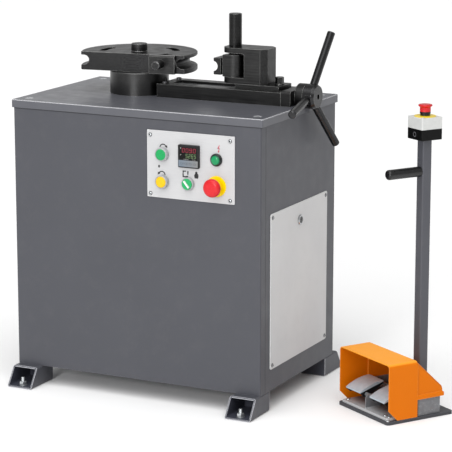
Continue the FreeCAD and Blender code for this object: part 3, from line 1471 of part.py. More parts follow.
def pedal(side):
    """Pedal with a crowned tread, two tapering skirts and a pivot near its front."""
    y0 = PEDAL_FRONT
    y1 = PEDAL_FRONT + PEDAL_DEPTH
    z0 = PEDAL_FRONT_HEIGHT
    z1 = PEDAL_FRONT_HEIGHT + PEDAL_RISE
    skirt = [
        (y1, z1 - 2 * PEDAL_PLATE),
        (PEDAL_PIN_Y + PEDAL_EYE, z0 - PEDAL_SKIRT),
        (PEDAL_PIN_Y - PEDAL_EYE, z0 - PEDAL_SKIRT),
        (y0, z0 - PEDAL_PLATE),
    ]
    deep = z0 - 3 * PEDAL_SKIRT
    body = pedal_blank(0.0, skirt, PEDAL_WIDTH)
    under = pedal_blank(PEDAL_PLATE, [(y1, deep), (y0, deep)], PEDAL_WIDTH - 2 * PEDAL_WALL)
    body = body.cut(under)
    half = PEDAL_WIDTH / 2
    aside = Vector(-half - PAST, PEDAL_PIN_Y, PEDAL_PIN_Z)
    body = body.cut(rod(PEDAL_PIN_RADIUS + SLIDE_FIT, aside, RIGHT, PEDAL_WIDTH + 2 * PAST))
    body.translate(Vector(side * (PEDAL_FROM_CENTRE + half), 0, 0))
    return body


def pedal_pin():
    """Pivot pin carried by the web's boss and reaching through both pedals."""
    return rod(PEDAL_PIN_RADIUS, Vector(-PEDAL_OUTER, PEDAL_PIN_Y, PEDAL_PIN_Z), RIGHT, 2 * PEDAL_OUTER)


def station_post():
    """Square tube post on the floor plate."""
    outer = rounded_bar(POST_SIDE, POST_SIDE, POST_CORNER, POST_TOP - PLATE_THICK)
    inside = POST_SIDE - 2 * POST_WALL
    inner = rounded_bar(inside, inside, POST_CORNER - POST_WALL / 2, POST_TOP)
    inner.translate(Vector(0, 0, -PAST))
    tube = outer.cut(inner)
    tube.translate(Vector(POST_X, POST_Y, PLATE_THICK))
    return tube


def grip_rod():
    """Round grip that stands out of the post's front face."""
    face = POST_Y - POST_SIDE / 2
    grip = rod(GRIP_RADIUS, Vector(POST_X, face, GRIP_HEIGHT), FRONT, GRIP_LENGTH)
    return rounded_edges(grip, GRIP_RADIUS / 2, lambda e: near(middle(e).y, face - GRIP_LENGTH))


def switch_box_base():
    """Lower half of the switch box with a round knockout in its front."""
    base = rounded_bar(BOX_SIDE, BOX_SIDE, BOX_CORNER, BOX_BASE_HEIGHT)
    base.translate(Vector(POST_X, POST_Y, BOX_BOTTOM))
    base = bevelled_edges(base, FINE_EDGE, lambda e: near(middle(e).z, BOX_BOTTOM))
    wall = BOX_WALL
    room = rounded_bar(BOX_SIDE - 2 * wall, BOX_SIDE - 2 * wall, BOX_CORNER / 2, BOX_BASE_HEIGHT)
    room.translate(Vector(POST_X, POST_Y, BOX_BOTTOM + wall))
    ahead = Vector(POST_X, POST_Y - BOX_SIDE / 2 - PAST, BOX_BOTTOM + BOX_BASE_HEIGHT / 2)
    ring = rod(KNOCKOUT_RADIUS, ahead, BACK, PAST + KNOCKOUT_DEPTH)
    core = rod(KNOCKOUT_RADIUS - KNOCKOUT_DEPTH, ahead, BACK, PAST + KNOCKOUT_DEPTH)
    return base.cut(room).cut(ring.cut(core))


def switch_box_cover():
    """Upper half of the switch box with the emergency stop's hole."""
    cover = rounded_bar(BOX_SIDE, BOX_SIDE, BOX_CORNER, BOX_COVER_HEIGHT)
    cover.translate(Vector(POST_X, POST_Y, BOX_SPLIT))
    cover = rounded_edges(cover, EDGE, lambda e: near(middle(e).z, BOX_TOP))
    wall = BOX_WALL
    room = rounded_bar(BOX_SIDE - 2 * wall, BOX_SIDE - 2 * wall, BOX_CORNER / 2, BOX_COVER_HEIGHT)
    room.translate(Vector(POST_X, POST_Y, BOX_SPLIT - wall))
    hole = rod(BOX_STOP_BARREL + SEAT_FIT, Vector(POST_X, POST_Y, BOX_SPLIT), UP, BOX_COVER_HEIGHT + PAST)
    return cover.cut(room).cut(hole)


def box_stop_collar():
    """Yellow disc and collar of the station's emergency stop."""
    bore = DEVICE_STEM + RUN_GAP
    body = turned([
        (bore, -BOX_STOP_DEPTH),
        (BOX_STOP_BARREL, -BOX_STOP_DEPTH),
        (BOX_STOP_BARREL, 0),
        (BOX_DISC, 0),
        (BOX_DISC, BOX_DISC_THICK),
        (BOX_STOP_COLLAR, BOX_DISC_THICK),
        (BOX_STOP_COLLAR, BOX_COLLAR_PROUD),
        (bore, BOX_COLLAR_PROUD),
    ])
    body.translate(Vector(POST_X, POST_Y, BOX_TOP))
    return body


def box_stop_head():
    """Tall mushroom head whose skirt slips over the collar."""
    top = BOX_STOP_HEIGHT
    skirt = BOX_STOP_COLLAR + RUN_GAP
    roof = BOX_COLLAR_PROUD + STOP_TRAVEL
    low = FINE_EDGE - BOX_STOP_DEPTH
    body = turned([
        (0, low),
        (DEVICE_STEM, low),
        (DEVICE_STEM, roof),
        (skirt, roof),
        (skirt, BOX_SKIRT_LIFT),
        (BOX_STOP_SKIRT, BOX_SKIRT_LIFT),
        (BOX_STOP_SKIRT, top - 0.27 * top),
        (BOX_STOP_HEAD - FINE_EDGE, top - 0.17 * top),
        (BOX_STOP_HEAD, top - 0.12 * top),
        (BOX_STOP_HEAD - FINE_EDGE, top - 0.04 * top),
        (BOX_STOP_HEAD * 0.7, top - 0.01 * top),
        (0, top),
    ])
    body.translate(Vector(POST_X, POST_Y, BOX_TOP))
    return body


def save_cabinet():
    """Save the cabinet, its feet and its cover."""
    save("cabinet_front", front_panel())
    save("cabinet_left", side_pan(-1))
    save("cabinet_right", right_side())
    save("cabinet_back", back_panel())
    save("cabinet_base", base_pan())
    save("table_plate", table_plate())
    corner_names = ("front_left", "front_right", "back_left", "back_right")
    for name, place in zip(corner_names, bolt_places()):
        save("table_bolt_" + name, socket_bolt(place))
    for name, side, end in zip(corner_names, (-1, 1, -1, 1), (-1, -1, 1, 1)):
        save("foot_" + name, foot(side, end))
    save("side_cover", side_cover())
    save("cover_lock_ring", lock_ring())
    save("cover_lock", lock_rotor())


def save_controls():
    """Save the control panel and its devices."""
    save("panel_plate", panel_plate())
    save("controller", on_panel(controller(), COLUMN_MIDDLE, CONTROLLER_Z))
    save("green_bezel", on_panel(button_bezel(), COLUMN_LEFT, GREEN_Z))
    save("green_cap", on_panel(button_cap(), COLUMN_LEFT, GREEN_Z))
    save("yellow_bezel", on_panel(button_bezel(), COLUMN_LEFT, ROW_LOW))
    save("yellow_cap", on_panel(button_cap(), COLUMN_LEFT, ROW_LOW))
    save("pilot_lamp", on_panel(pilot_lamp(), COLUMN_RIGHT, ROW_HIGH))
    save("selector_bezel", on_panel(selector_bezel(), SELECTOR_X, ROW_LOW))
    save("selector_knob", on_panel(selector_knob(), SELECTOR_X, ROW_LOW))
    save("stop_collar", on_panel(stop_collar(), COLUMN_RIGHT, ROW_LOW))
    save("stop_head", on_panel(stop_head(), COLUMN_RIGHT, ROW_LOW))


def save_bender():
    """Save the drive, the die set, the slide, the carriage and the handle."""
    save("hub_housing", hub_housing())
    save("gearbox", gearbox())
    save("drive_motor", drive_motor())
    save("main_shaft", main_shaft())
    save("bending_die", bending_die())
    save("clamp_block", clamp_block())
    save("clamp_pin", clamp_pin())
    save("slide_base", slide_base())
    save("end_block", end_block())
    save("lead_screw", lead_screw())
    save("handle_hub", handle_hub())
    for index in range(ARM_COUNT):
        save("handle_arm_" + str(index + 1), handle_arm(index))
    save("carriage_base", carriage_base())
    save("fork_block", fork_block())
    save("carriage_bolt", carriage_bolt())
    save("pivot_pin", pivot_pin())
    save("die_holder", die_holder())
    save("counter_die", counter_die())


def save_station():
    """Save the pedal station."""
    save("station_plate", at_station(station_plate()))
    save("pedal_base", at_station(pedal_base()))
    save("pedal_guard", at_station(pedal_guard()))
    save("pedal_left", at_station(pedal(-1)))
    save("pedal_right", at_station(pedal(1)))
    save("pedal_pin", at_station(pedal_pin()))
    save("station_post", at_station(station_post()))
    save("grip_rod", at_station(grip_rod()))
    save("switch_box_base", at_station(switch_box_base()))
    save("switch_box_cover", at_station(switch_box_cover()))
    save("box_stop_collar", at_station(box_stop_collar()))
    save("box_stop_head", at_station(box_stop_head()))


save_cabinet()
save_controls()
save_bender()
save_station()
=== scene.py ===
import bpy
import bmesh
import math
from mathutils import Matrix, Vector


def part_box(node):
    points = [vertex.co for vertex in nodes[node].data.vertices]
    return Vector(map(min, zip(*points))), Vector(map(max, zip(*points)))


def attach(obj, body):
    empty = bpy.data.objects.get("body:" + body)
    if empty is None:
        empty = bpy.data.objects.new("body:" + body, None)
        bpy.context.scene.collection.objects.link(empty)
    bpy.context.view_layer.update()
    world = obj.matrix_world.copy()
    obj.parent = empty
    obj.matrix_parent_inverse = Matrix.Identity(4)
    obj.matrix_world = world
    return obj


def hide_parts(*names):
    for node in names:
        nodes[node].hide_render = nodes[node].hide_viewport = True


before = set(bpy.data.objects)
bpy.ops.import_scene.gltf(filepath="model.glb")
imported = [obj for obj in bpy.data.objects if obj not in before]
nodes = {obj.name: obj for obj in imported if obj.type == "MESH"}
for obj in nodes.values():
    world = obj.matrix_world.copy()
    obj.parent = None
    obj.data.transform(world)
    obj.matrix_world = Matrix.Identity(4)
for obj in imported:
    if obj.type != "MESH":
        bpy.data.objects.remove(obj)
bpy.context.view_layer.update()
scene = bpy.context.scene
scene.view_settings.view_transform = "Standard"
print("frame loaded")

# everything is in metres, in the machine's own frame: +X right, -Y towards the operator
mm = 0.001
alongX, alongY, alongZ = (1, 0, 0), (0, 1, 0), (0, 0, 1)


def middleOf(node):
    low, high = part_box(node)
    return (low + high) / 2


def nodesCalled(start):
    return [name for name in nodes if name.startswith(start)]


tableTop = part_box("table_plate")[1].z
panelLow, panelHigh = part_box("panel_plate")
coverLow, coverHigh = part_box("side_cover")
sheetLow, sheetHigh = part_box("cabinet_right")
slideLow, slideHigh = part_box("slide_base")
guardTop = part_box("pedal_guard")[1].z
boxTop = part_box("switch_box_cover")[1].z
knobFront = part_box("selector_knob")[0].y
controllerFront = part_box("controller")[0].y
controllerMiddle = middleOf("controller")
lampMiddle = middleOf("pilot_lamp")

# The pedal station stands turned on the floor; its places are given in its own millimetres
stationSettings = {"turn": math.radians(-32.5), "place": (0.565, -0.093, 0.0)}
stationSpin = Matrix.Rotation(stationSettings["turn"], 3, "Z")


def stationDirection(x, y, z):
    return (stationSpin @ Vector((x, y, z))).normalized()


def atStation(x, y, z):
    return Vector(stationSettings["place"]) + stationSpin @ Vector((x, y, z)) * mm


# A long lens from the front right, a little above the table
cameraSettings = {"place": (2.5429, -4.8078, 1.5824), "target": (0.1415, 0.0, 0.4135), "lens": 172.9,
                  "sensor": 36.0, "farthest": 60.0}


def makeCamera(settings):
    data = bpy.data.cameras.new("camera")
    data.lens = settings["lens"]
    data.sensor_width = settings["sensor"]
    data.clip_end = settings["farthest"]
    camera = bpy.data.objects.new("camera", data)
    scene.collection.objects.link(camera)
    aim = Vector(settings["target"]) - Vector(settings["place"])
    camera.location = settings["place"]
    camera.rotation_euler = aim.to_track_quat("-Z", "Y").to_euler()
    scene.camera = camera


makeCamera(cameraSettings)
print("camera placed")


def linearColour(hexText):
    values = []
    for start in (1, 3, 5):
        part = int(hexText[start:start + 2], 16) / 255
        values.append(part / 12.92 if part <= 0.04045 else ((part + 0.055) / 1.055) ** 2.4)
    return (*values, 1.0)


def addNode(tree, kind, settings=None, inputs=None, output=0):
    # adds one node with its settings and links, and gives back one of its outputs
    node = tree.nodes.new(kind)
    for name, value in (settings or {}).items():
        setattr(node, name, value)
    for name, value in (inputs or {}).items():
        socket = node.inputs[name]
        if isinstance(value, bpy.types.NodeSocket):
            tree.links.new(value, socket)
        else:
            socket.default_value = value
    return node.outputs[output] if node.outputs else None


def makeMaterial(name, recipe, look):
    # a recipe gives the values and links of the surface shader for one look
    material = bpy.data.materials.new(name)
    material.use_nodes = True
    tree = material.node_tree
    tree.nodes.clear()
    where = addNode(tree, "ShaderNodeTexCoord", output="Object")
    surface = addNode(tree, "ShaderNodeBsdfPrincipled", None, recipe(tree, where, look))
    addNode(tree, "ShaderNodeOutputMaterial", None, {"Surface": surface})
    return material


def patches(tree, where, sizeMm, between=(0.0, 1.0), sharp=(0.3, 0.7), detail=3.0, rough=0.55,
            stretch=(1, 1, 1)):
    # soft patches sizeMm across; a small stretch value draws them out along its axis
    scaled = addNode(tree, "ShaderNodeMapping", None, {"Vector": where, "Scale": stretch})
    noise = addNode(tree, "ShaderNodeTexNoise", None, {
        "Vector": scaled, "Scale": 1.0 / (sizeMm * mm), "Detail": detail, "Roughness": rough}, "Fac")
    return addNode(tree, "ShaderNodeMapRange", None, {
        "Value": noise, "From Min": sharp[0], "From Max": sharp[1],
        "To Min": between[0], "To Max": between[1]}, "Result")


def ramp(tree, where, direction, place, bandMm):
    # goes from 0 to 1 over a band, in millimetres from a place; a band given backwards falls
    along = addNode(tree, "ShaderNodeVectorMath", {"operation": "DOT_PRODUCT"},
                    {0: where, 1: direction}, "Value")
    return addNode(tree, "ShaderNodeMapRange", None, {
        "Value": along, "From Min": place + bandMm[0] * mm, "From Max": place + bandMm[1] * mm}, "Result")


def fromCentre(tree, where, centre, keep):
    # the place seen from a centre, and its distance over the axes that keep leaves
    local = addNode(tree, "ShaderNodeVectorMath", {"operation": "SUBTRACT"}, {0: where, 1: centre})
    kept = addNode(tree, "ShaderNodeVectorMath", {"operation": "MULTIPLY"}, {0: local, 1: keep})
    return local, addNode(tree, "ShaderNodeVectorMath", {"operation": "LENGTH"}, {0: kept}, "Value")


def roundRamp(tree, where, centre, keep, bandMm):
    # the same over a band of distances from a centre
    distance = fromCentre(tree, where, centre, keep)[1]
    return addNode(tree, "ShaderNodeMapRange", None, {
        "Value": distance, "From Min": bandMm[0] * mm, "From Max": bandMm[1] * mm}, "Result")


def edgeWearAndPaintedLight(tree, radiusMm, strength):
    # how far the rounded normal leaves the flat one: 1 on a sharp edge, 0 on a face
    # the colour laid on this mask is partly edge wear and partly painted highlight, and on the red stop head
    # painted shade
    rounded = addNode(tree, "ShaderNodeBevel", {"samples": 6}, {"Radius": radiusMm * mm})
    flat = addNode(tree, "ShaderNodeNewGeometry", output="Normal")
    alike = addNode(tree, "ShaderNodeVectorMath", {"operation": "DOT_PRODUCT"}, {0: rounded, 1: flat}, "Value")
    return addNode(tree, "ShaderNodeMapRange", None, {
        "Value": alike, "From Min": 1.0, "From Max": 1.0 - 1.0 / strength}, "Result")


def relief(tree, height, depthMm, roundingMm=0.5):
    # a bump of a real depth over edges that are slightly rounded
    soft = addNode(tree, "ShaderNodeBevel", {"samples": 4}, {"Radius": roundingMm * mm})
    return addNode(tree, "ShaderNodeBump", None, {"Height": height, "Distance": depthMm * mm, "Normal": soft})


def coats(tree, where, look, layers):
    # colours laid over the look's own one after another, each where all of its masks are 1, and
    # last the parts of the surface that differ
    colour = linearColour(look["colour"])
    for ramps, hexText in look.get("parts", []):
        layers = layers + [([make(tree, where, *values) for make, *values in ramps], hexText)]
    for masks, hexText in layers:
        amount = masks[0]
        for mask in masks[1:]:
            amount = addNode(tree, "ShaderNodeMath", {"operation": "MULTIPLY"}, {0: amount, 1: mask})
        # a colour mix has its colours in sockets 6 and 7, and gives output 2
        colour = addNode(tree, "ShaderNodeMix", {"data_type": "RGBA"},
                         {0: amount, 6: colour, 7: linearColour(hexText)}, 2)
    return colour


def around(middle, less, more):
    return middle - less, middle + more


# Powder coat baked on sheet steel: an even satin skin with fine orange peel and a little dust.
# Its corners are paler, partly wear and partly painted highlight. Seams and the joint under the
# table show as dark lines of painted shade.
powderTexture = {"shadeMm": 180.0, "dustMm": 35.0, "dustColour": "#8f8c86", "roundMm": 0.8, "seamSoftMm": 0.4}


def powderCoat(tree, where, look):
    texture = powderTexture
    dust = patches(tree, where, texture["dustMm"], (0.0, look["dust"]), (0.5, 0.8), detail=6.0, rough=0.7)
    edges = [edgeWearAndPaintedLight(tree, look["edgeMm"], look["edge"])]
    # on the table the edge colour, a painted highlight, is kept to its top edge
    if "edgeAbove" in look:
        edges.append(ramp(tree, where, alongZ, look["edgeAbove"], (-1.0, 0.0)))
    layers = [([patches(tree, where, texture["shadeMm"], detail=2.0)], look["shade"]),
              ([dust], texture["dustColour"]), (edges, look["edgeColour"])]
    for direction, place, width in look.get("seams", []):
        half, soft = width / 2, texture["seamSoftMm"]
        layers.append(([ramp(tree, where, direction, place, (-half - soft, -half)),
                        ramp(tree, where, direction, place, (half + soft, half))], look["seamShadeColour"]))
    peel = patches(tree, where, look["peelMm"], detail=2.0)
    return {
        "Base Color": coats(tree, where, look, layers),
        "Roughness": patches(tree, where, texture["dustMm"], around(look["rough"], 0.05, 0.06), detail=6.0),
        "IOR": 1.5,
        "Specular IOR Level": look["specular"],
        "Normal": relief(tree, peel, look["peelDepthMm"], texture["roundMm"]),
    }


# Black oxide on machined steel: a dark metal with an oily sheen, bright edges and the
# cutter's marks, which run round the centre of a turned piece. The bright edges are partly wear
# and partly painted highlight. The real marks are a few tenths of a millimetre apart and are drawn
# as coarse as the render needs to show them.
oxideTexture = {"shadeMm": 28.0, "roundMm": 0.6}


def blackOxide(tree, where, look):
    texture = oxideTexture
    marksAt = where
    if "centre" in look:
        local, radius = fromCentre(tree, where, look["centre"], (1, 1, 0))
        height = addNode(tree, "ShaderNodeSeparateXYZ", None, {0: local}, "Z")
        marksAt = addNode(tree, "ShaderNodeCombineXYZ", None, {0: radius, 1: height})
    marks = patches(tree, marksAt, look["markMm"], (0.0, look["marks"]), detail=2.0, stretch=look["stretch"])
    layers = [([patches(tree, where, texture["shadeMm"], detail=5.0, rough=0.65)], look["shade"]),
              ([marks], look["markColour"]),
              ([edgeWearAndPaintedLight(tree, look["edgeMm"], look["edge"])], look["edgeColour"])]
    return {
        "Base Color": coats(tree, where, look, layers),
        "Metallic": look["metal"],
        "Roughness": patches(tree, where, texture["shadeMm"], around(look["rough"], 0.06, 0.06), detail=5.0),
        "Normal": relief(tree, marks, look["markDepthMm"], texture["roundMm"]),
    }


# Bright metal, plated or ground: reflects the room, with fine scratches that run one way on ground
# steel and every way on plating. They are drawn coarser than they are, so that they show. Its bright
# edges are partly wear and partly painted highlight. A screw has painted shade in its socket and in
# a ring where it meets the sheet.
metalTexture = {"shadeMm": 14.0, "edgeMm": 0.8, "roundMm": 0.4, "softMm": 0.5, "edgeColour": "#f0f0f0",
                "socketShadeColour": "#26272a", "rimShadeColour": "#3c3d40"}


def brightMetal(tree, where, look):
    texture = metalTexture
    grain = {"sizeMm": look["grainMm"], "stretch": look["stretch"]}
    fine = patches(tree, where, detail=2.0, **grain)
    scratches = patches(tree, where, between=(0.0, look["scratch"]), sharp=(0.55, 0.75), **grain)
    layers = [([patches(tree, where, texture["shadeMm"], detail=4.0)], look["shade"]),
              ([scratches], look["shade"]),
              ([edgeWearAndPaintedLight(tree, texture["edgeMm"], look.get("edge", 1.0))], texture["edgeColour"])]
    if "recessMm" in look:
        band = (look["recessMm"] + texture["softMm"], look["recessMm"])
        layers.append(([roundRamp(tree, where, (0, 0, 0), (1, 1, 0), band)], texture["socketShadeColour"]))
    if "rimMm" in look:
        band = (look["rimMm"], look["rimMm"] + texture["softMm"])
        layers.append(([roundRamp(tree, where, (0, 0, 0), (1, 1, 0), band)], texture["rimShadeColour"]))
    return {
        "Base Color": coats(tree, where, look, layers),
        "Metallic": look["metal"],
        "Roughness": patches(tree, where, between=around(look["rough"], 0.05, 0.08), **grain),
        "Normal": relief(tree, fine, look["grainDepthMm"], texture["roundMm"]),
    }


# Moulded plastic, ABS or polyamide: smooth or lightly textured, with a faint flow pattern and
# soft moulded edges, whose paler colour is painted highlight, and on the red stop head a darker
# one painted shade. Other colours may cover parts of it.
plasticTexture = {"flowMm": 9.0, "edgeMm": 0.7, "coatRough": 0.08}


def mouldedPlastic(tree, where, look):
    texture = plasticTexture
    layers = [([patches(tree, where, texture["flowMm"])], look["shade"]),
              ([edgeWearAndPaintedLight(tree, texture["edgeMm"], look["edge"])], look["edgeColour"])]
    grain = patches(tree, where, look["grainMm"], detail=2.0)
    return {
        "Base Color": coats(tree, where, look, layers),
        "Roughness": patches(tree, where, look["grainMm"], around(look["rough"], 0.04, 0.05), detail=2.0),
        "IOR": 1.53,
        "Specular IOR Level": look["specular"],
        "Coat Weight": look["coat"],
        "Coat Roughness": texture["coatRough"],
        "Normal": relief(tree, grain, look["grainDepthMm"]),
    }


# Sand casting under lacquer: a pebbled skin, paler where shoes or hands rub it, and paler at its
# edges, partly wear and partly painted highlight.
castTexture = {"shadeMm": 22.0, "rubbedMm": 6.0, "rubbedStretch": (1.0, 0.25, 1.0), "edgeMm": 1.0, "edge": 1.6,
               "roundMm": 0.8}


def castLacquer(tree, where, look):
    texture = castTexture
    rubbed = patches(tree, where, texture["rubbedMm"], (0.0, 0.35), (0.5, 0.72), 6.0, 0.75,
                     texture["rubbedStretch"])
    layers = [([patches(tree, where, texture["shadeMm"], detail=5.0)], look["shade"]),
              ([rubbed], look["edgeColour"]),
              ([edgeWearAndPaintedLight(tree, texture["edgeMm"], texture["edge"])], look["edgeColour"])]
    pebbles = patches(tree, where, look["pebbleMm"], detail=4.0, rough=0.6)
    return {
        "Base Color": coats(tree, where, look, layers),
        "Metallic": look["metal"],
        "Roughness": patches(tree, where, look["pebbleMm"], around(look["rough"], 0.08, 0.08), detail=4.0),
        "Normal": relief(tree, pebbles, look["depthMm"], texture["roundMm"]),
    }


# Brushed anodised aluminium sheet: long fine lines one way over a pale satin face, with white
# edges as a painted highlight. The real lines are under a tenth of a millimetre apart and are drawn
# as coarse as the render needs to show them.
sheetTexture = {"shadeMm": 60.0, "edgeMm": 1.4, "edge": 3.5, "edgeColour": "#ffffff", "lineDepthMm": 0.01}


def brushedSheet(tree, where, look):
    texture = sheetTexture
    lines = {"sizeMm": look["lineMm"], "stretch": look["stretch"]}
    layers = [([patches(tree, where, texture["shadeMm"], detail=2.0)], look["shade"]),
              ([patches(tree, where, between=(0.0, 0.5), **lines)], look["lineColour"]),
              ([edgeWearAndPaintedLight(tree, texture["edgeMm"], texture["edge"])], texture["edgeColour"])]
    return {
        "Base Color": coats(tree, where, look, layers),
        "Metallic": look["metal"],
        "Roughness": patches(tree, where, between=around(look["rough"], 0.06, 0.06), **lines),
        "Specular IOR Level": look["specular"],
        "Normal": relief(tree, patches(tree, where, **lines), texture["lineDepthMm"]),
    }


# Foamed rubber grip: black with a fine skin that shines where hands have polished it. Its paler
# edges, such as the ring at its end, are a painted highlight.
rubberTexture = {"shadeMm": 12.0, "sheenMm": 10.0, "edgeMm": 1.5, "edge": 1.2, "skinDepthMm": 0.03, "roundMm": 0.8}


def gripRubber(tree, where, look):
    texture = rubberTexture
    skin = patches(tree, where, look["grainMm"], detail=4.0, rough=0.7)
    layers = [([patches(tree, where, texture["shadeMm"])], look["shade"]),
              ([edgeWearAndPaintedLight(tree, texture["edgeMm"], texture["edge"])], look["edgeColour"])]
    return {
        "Base Color": coats(tree, where, look, layers),
        "Roughness": patches(tree, where, texture["sheenMm"], around(look["rough"], 0.06, 0.1)),
        "Specular IOR Level": look["specular"],
        "Normal": relief(tree, skin, texture["skinDepthMm"], texture["roundMm"]),
    }


# Screen printing ink: flat, dense and slightly uneven; lit segments glow by themselves.
inkTexture = {"grainMm": 0.4}


def screenInk(tree, where, look):
    grain = {"sizeMm": inkTexture["grainMm"], "detail": 2.0}
    uneven = patches(tree, where, between=(0.0, 0.25), **grain)
    return {
        "Base Color": coats(tree, where, look, [([uneven], look["shade"])]),
        "Roughness": patches(tree, where, between=(0.4, 0.6), **grain),
        "Specular IOR Level": look.get("specular", 0.5),
        "Emission Color": linearColour(look["colour"]),
        "Emission Strength": look.get("glow", 0.0),
    }


# Parts of a surface with a colour of their own, or with painted light or shade. A part is where all
# of its ramps are 1. A ramp has a direction and a place, or a centre and the axes that count, and
# then its band.

# painted shade on the inner walls of a foot's hollow, seen through its slanted mouth
footMiddle = abs(middleOf("foot_front_right").x) / mm
footHollowShade = [(roundRamp, (0, 0, 0), alongX, (footMiddle - 31.6, footMiddle - 31.0)),
              (roundRamp, (0, 0, 0), alongX, (footMiddle + 31.6, footMiddle + 31.0)),
              (ramp, alongZ, 0.0, (3.4, 3.9)), (ramp, alongZ, 0.0, (46.6, 46.0))]

pedalSettings = {"slope": (0.0, -21.0, 69.0), "tread": (0.0, 3.0, 50.5), "slabStart": (0.0, 5.0, 0.0),
                 "slabEnd": (0.0, 90.5, 0.0)}
treadUp = stationDirection(*pedalSettings["slope"])
treadPlace = atStation(*pedalSettings["tread"]).dot(treadUp)
stationFront = stationDirection(*alongY)
slabStart = atStation(*pedalSettings["slabStart"]).dot(stationFront)
slabEnd = atStation(*pedalSettings["slabEnd"]).dot(stationFront)
# painted shade on the skirts and the underside of a pedal
underTreadShade = [(ramp, treadUp, treadPlace, (-2.4, -3.2))]
# painted light on the open front of the slab
slabLitFront = [(ramp, stationFront, slabStart, (45.0, 10.0)), (ramp, alongZ, 0.0, (18.0, 16.0))]
# painted shade on the floor of the base under the pedals
pedalPitShade = [(ramp, stationFront, slabStart, (25.0, 70.0)), (ramp, stationFront, slabEnd, (1.0, 0.0)),
            (ramp, alongZ, 0.0, (50.0, 40.0))]
# painted light on the guard's upper face
guardLitTop = [(ramp, alongZ, guardTop, (-5.0, -0.8))]

# the green face of the selector behind its pale grip bar
knobFace = [(ramp, alongY, knobFront, (3.6, 4.0))]
# the black bezel round the lens, and the lens's rim, where its wall is seen edge on
lampRing = [(roundRamp, lampMiddle, (1, 0, 1), (11.9, 12.3))]
lampRim = [(roundRamp, lampMiddle, (1, 0, 1), (9.0, 11.2))]
# the black collar on the yellow disc, and the ring at the lower end of the red mushroom head
stationCollar = [(ramp, alongZ, boxTop, (1.7, 2.0))]
blackSkirt = [(ramp, alongZ, boxTop, (11.9, 11.6))]
# the groove of the round knockout in the box's front wall, 30.5 mm from its middle
knockout = middleOf("switch_box_base") + stationDirection(0, -1, 0) * 30.5 * mm
knockoutRing = [(roundRamp, knockout, (1, 1, 1), (4.4, 4.7)), (roundRamp, knockout, (1, 1, 1), (6.3, 6.0))]
# the pale foil over the controller's keys, which turns a plainer grey towards its right end
keyBand = [(ramp, alongZ, controllerMiddle.z, (-25.4, -25.0)), (ramp, alongZ, controllerMiddle.z, (-9.2, -9.6)),
           (ramp, alongX, controllerMiddle.x, (-26.4, -26.0)), (ramp, alongX, controllerMiddle.x, (26.4, 26.0)),
           (ramp, alongY, controllerFront, (1.9, 1.6))]
keyBandRight = keyBand + [(ramp, alongX, controllerMiddle.x, (-20.0, 24.0))]

# the cabinet's seams and the joint under the table are dark lines of painted shade
cabinetLook = {"colour": "#48494f", "shade": "#46474d", "edgeColour": "#85868c", "edge": 1.2, "edgeMm": 1.6,
               "peelMm": 1.6, "peelDepthMm": 0.03, "dust": 0.05, "rough": 0.42, "specular": 0.4,
               "seamShadeColour": "#2a2b30",
               "seams": [(alongY, sheetLow.y, 1.8), (alongY, sheetHigh.y, 1.8), (alongZ, tableTop - 21 * mm, 2.6)]}
# The table is coated like the cabinet; its paler colour is painted light on its top, and its near-white top edge
# is a painted highlight.
litTableLook = dict(cabinetLook, colour="#55565c", shade="#53545a", edgeColour="#f2f3f6", edge=9.0, edgeMm=3.2,
                 rough=0.37, specular=0.5, edgeAbove=tableTop - 3 * mm, seams=[])
# the feet's paler, wider edge colour is a painted highlight on their rims
footLook = dict(cabinetLook, seams=[], edgeColour="#c4c5cb", edge=9.0, edgeMm=3.0,
                parts=[(footHollowShade, "#3d3f49")])
plateLook = dict(cabinetLook, colour="#37383d", shade="#34353a", seams=[], edge=2.4)
postLook = dict(cabinetLook, colour="#505157", shade="#4c4d53", seams=[], edgeColour="#9a9ba0", edge=1.6)
# the cover's white edges are a painted highlight
coverLook = {"colour": "#cdcdcd", "shade": "#c7c7c8", "edgeColour": "#ffffff", "edge": 4.0, "edgeMm": 1.6,
             "peelMm": 1.4, "peelDepthMm": 0.02, "dust": 0.04, "rough": 0.45, "specular": 0.4}
guardLook = {"colour": "#d46e04", "shade": "#cf6a03", "edgeColour": "#ffb65c", "edge": 2.2, "edgeMm": 1.8,
             "peelMm": 1.5, "peelDepthMm": 0.03, "dust": 0.01, "rough": 0.42, "specular": 0.1,
             "parts": [(guardLitTop, "#f7a233")]}
motorLook = {"colour": "#3d4a57", "shade": "#364350", "edgeColour": "#6c7883", "edge": 1.2, "edgeMm": 1.5,
             "peelMm": 1.5, "peelDepthMm": 0.03, "dust": 0.12, "rough": 0.45, "specular": 0.5}
oxideLook = {"colour": "#373737", "shade": "#2e2e2e", "markColour": "#505050", "marks": 0.42, "markMm": 3.0,
             "stretch": (0.04, 1.0, 1.0), "markDepthMm": 0.02, "edgeColour": "#bcbcba", "edge": 4.6,
             "edgeMm": 1.3, "metal": 1.0, "rough": 0.34}
turnedOxideLook = dict(oxideLook, colour="#2e2e2f", shade="#262627", rough=0.42, markMm=2.2, marks=0.5,
                       stretch=(1.0, 1.0, 1.0), centre=middleOf("main_shaft"))
hubOxideLook = dict(turnedOxideLook, colour="#494949", shade="#3c3c3c", rough=0.33)
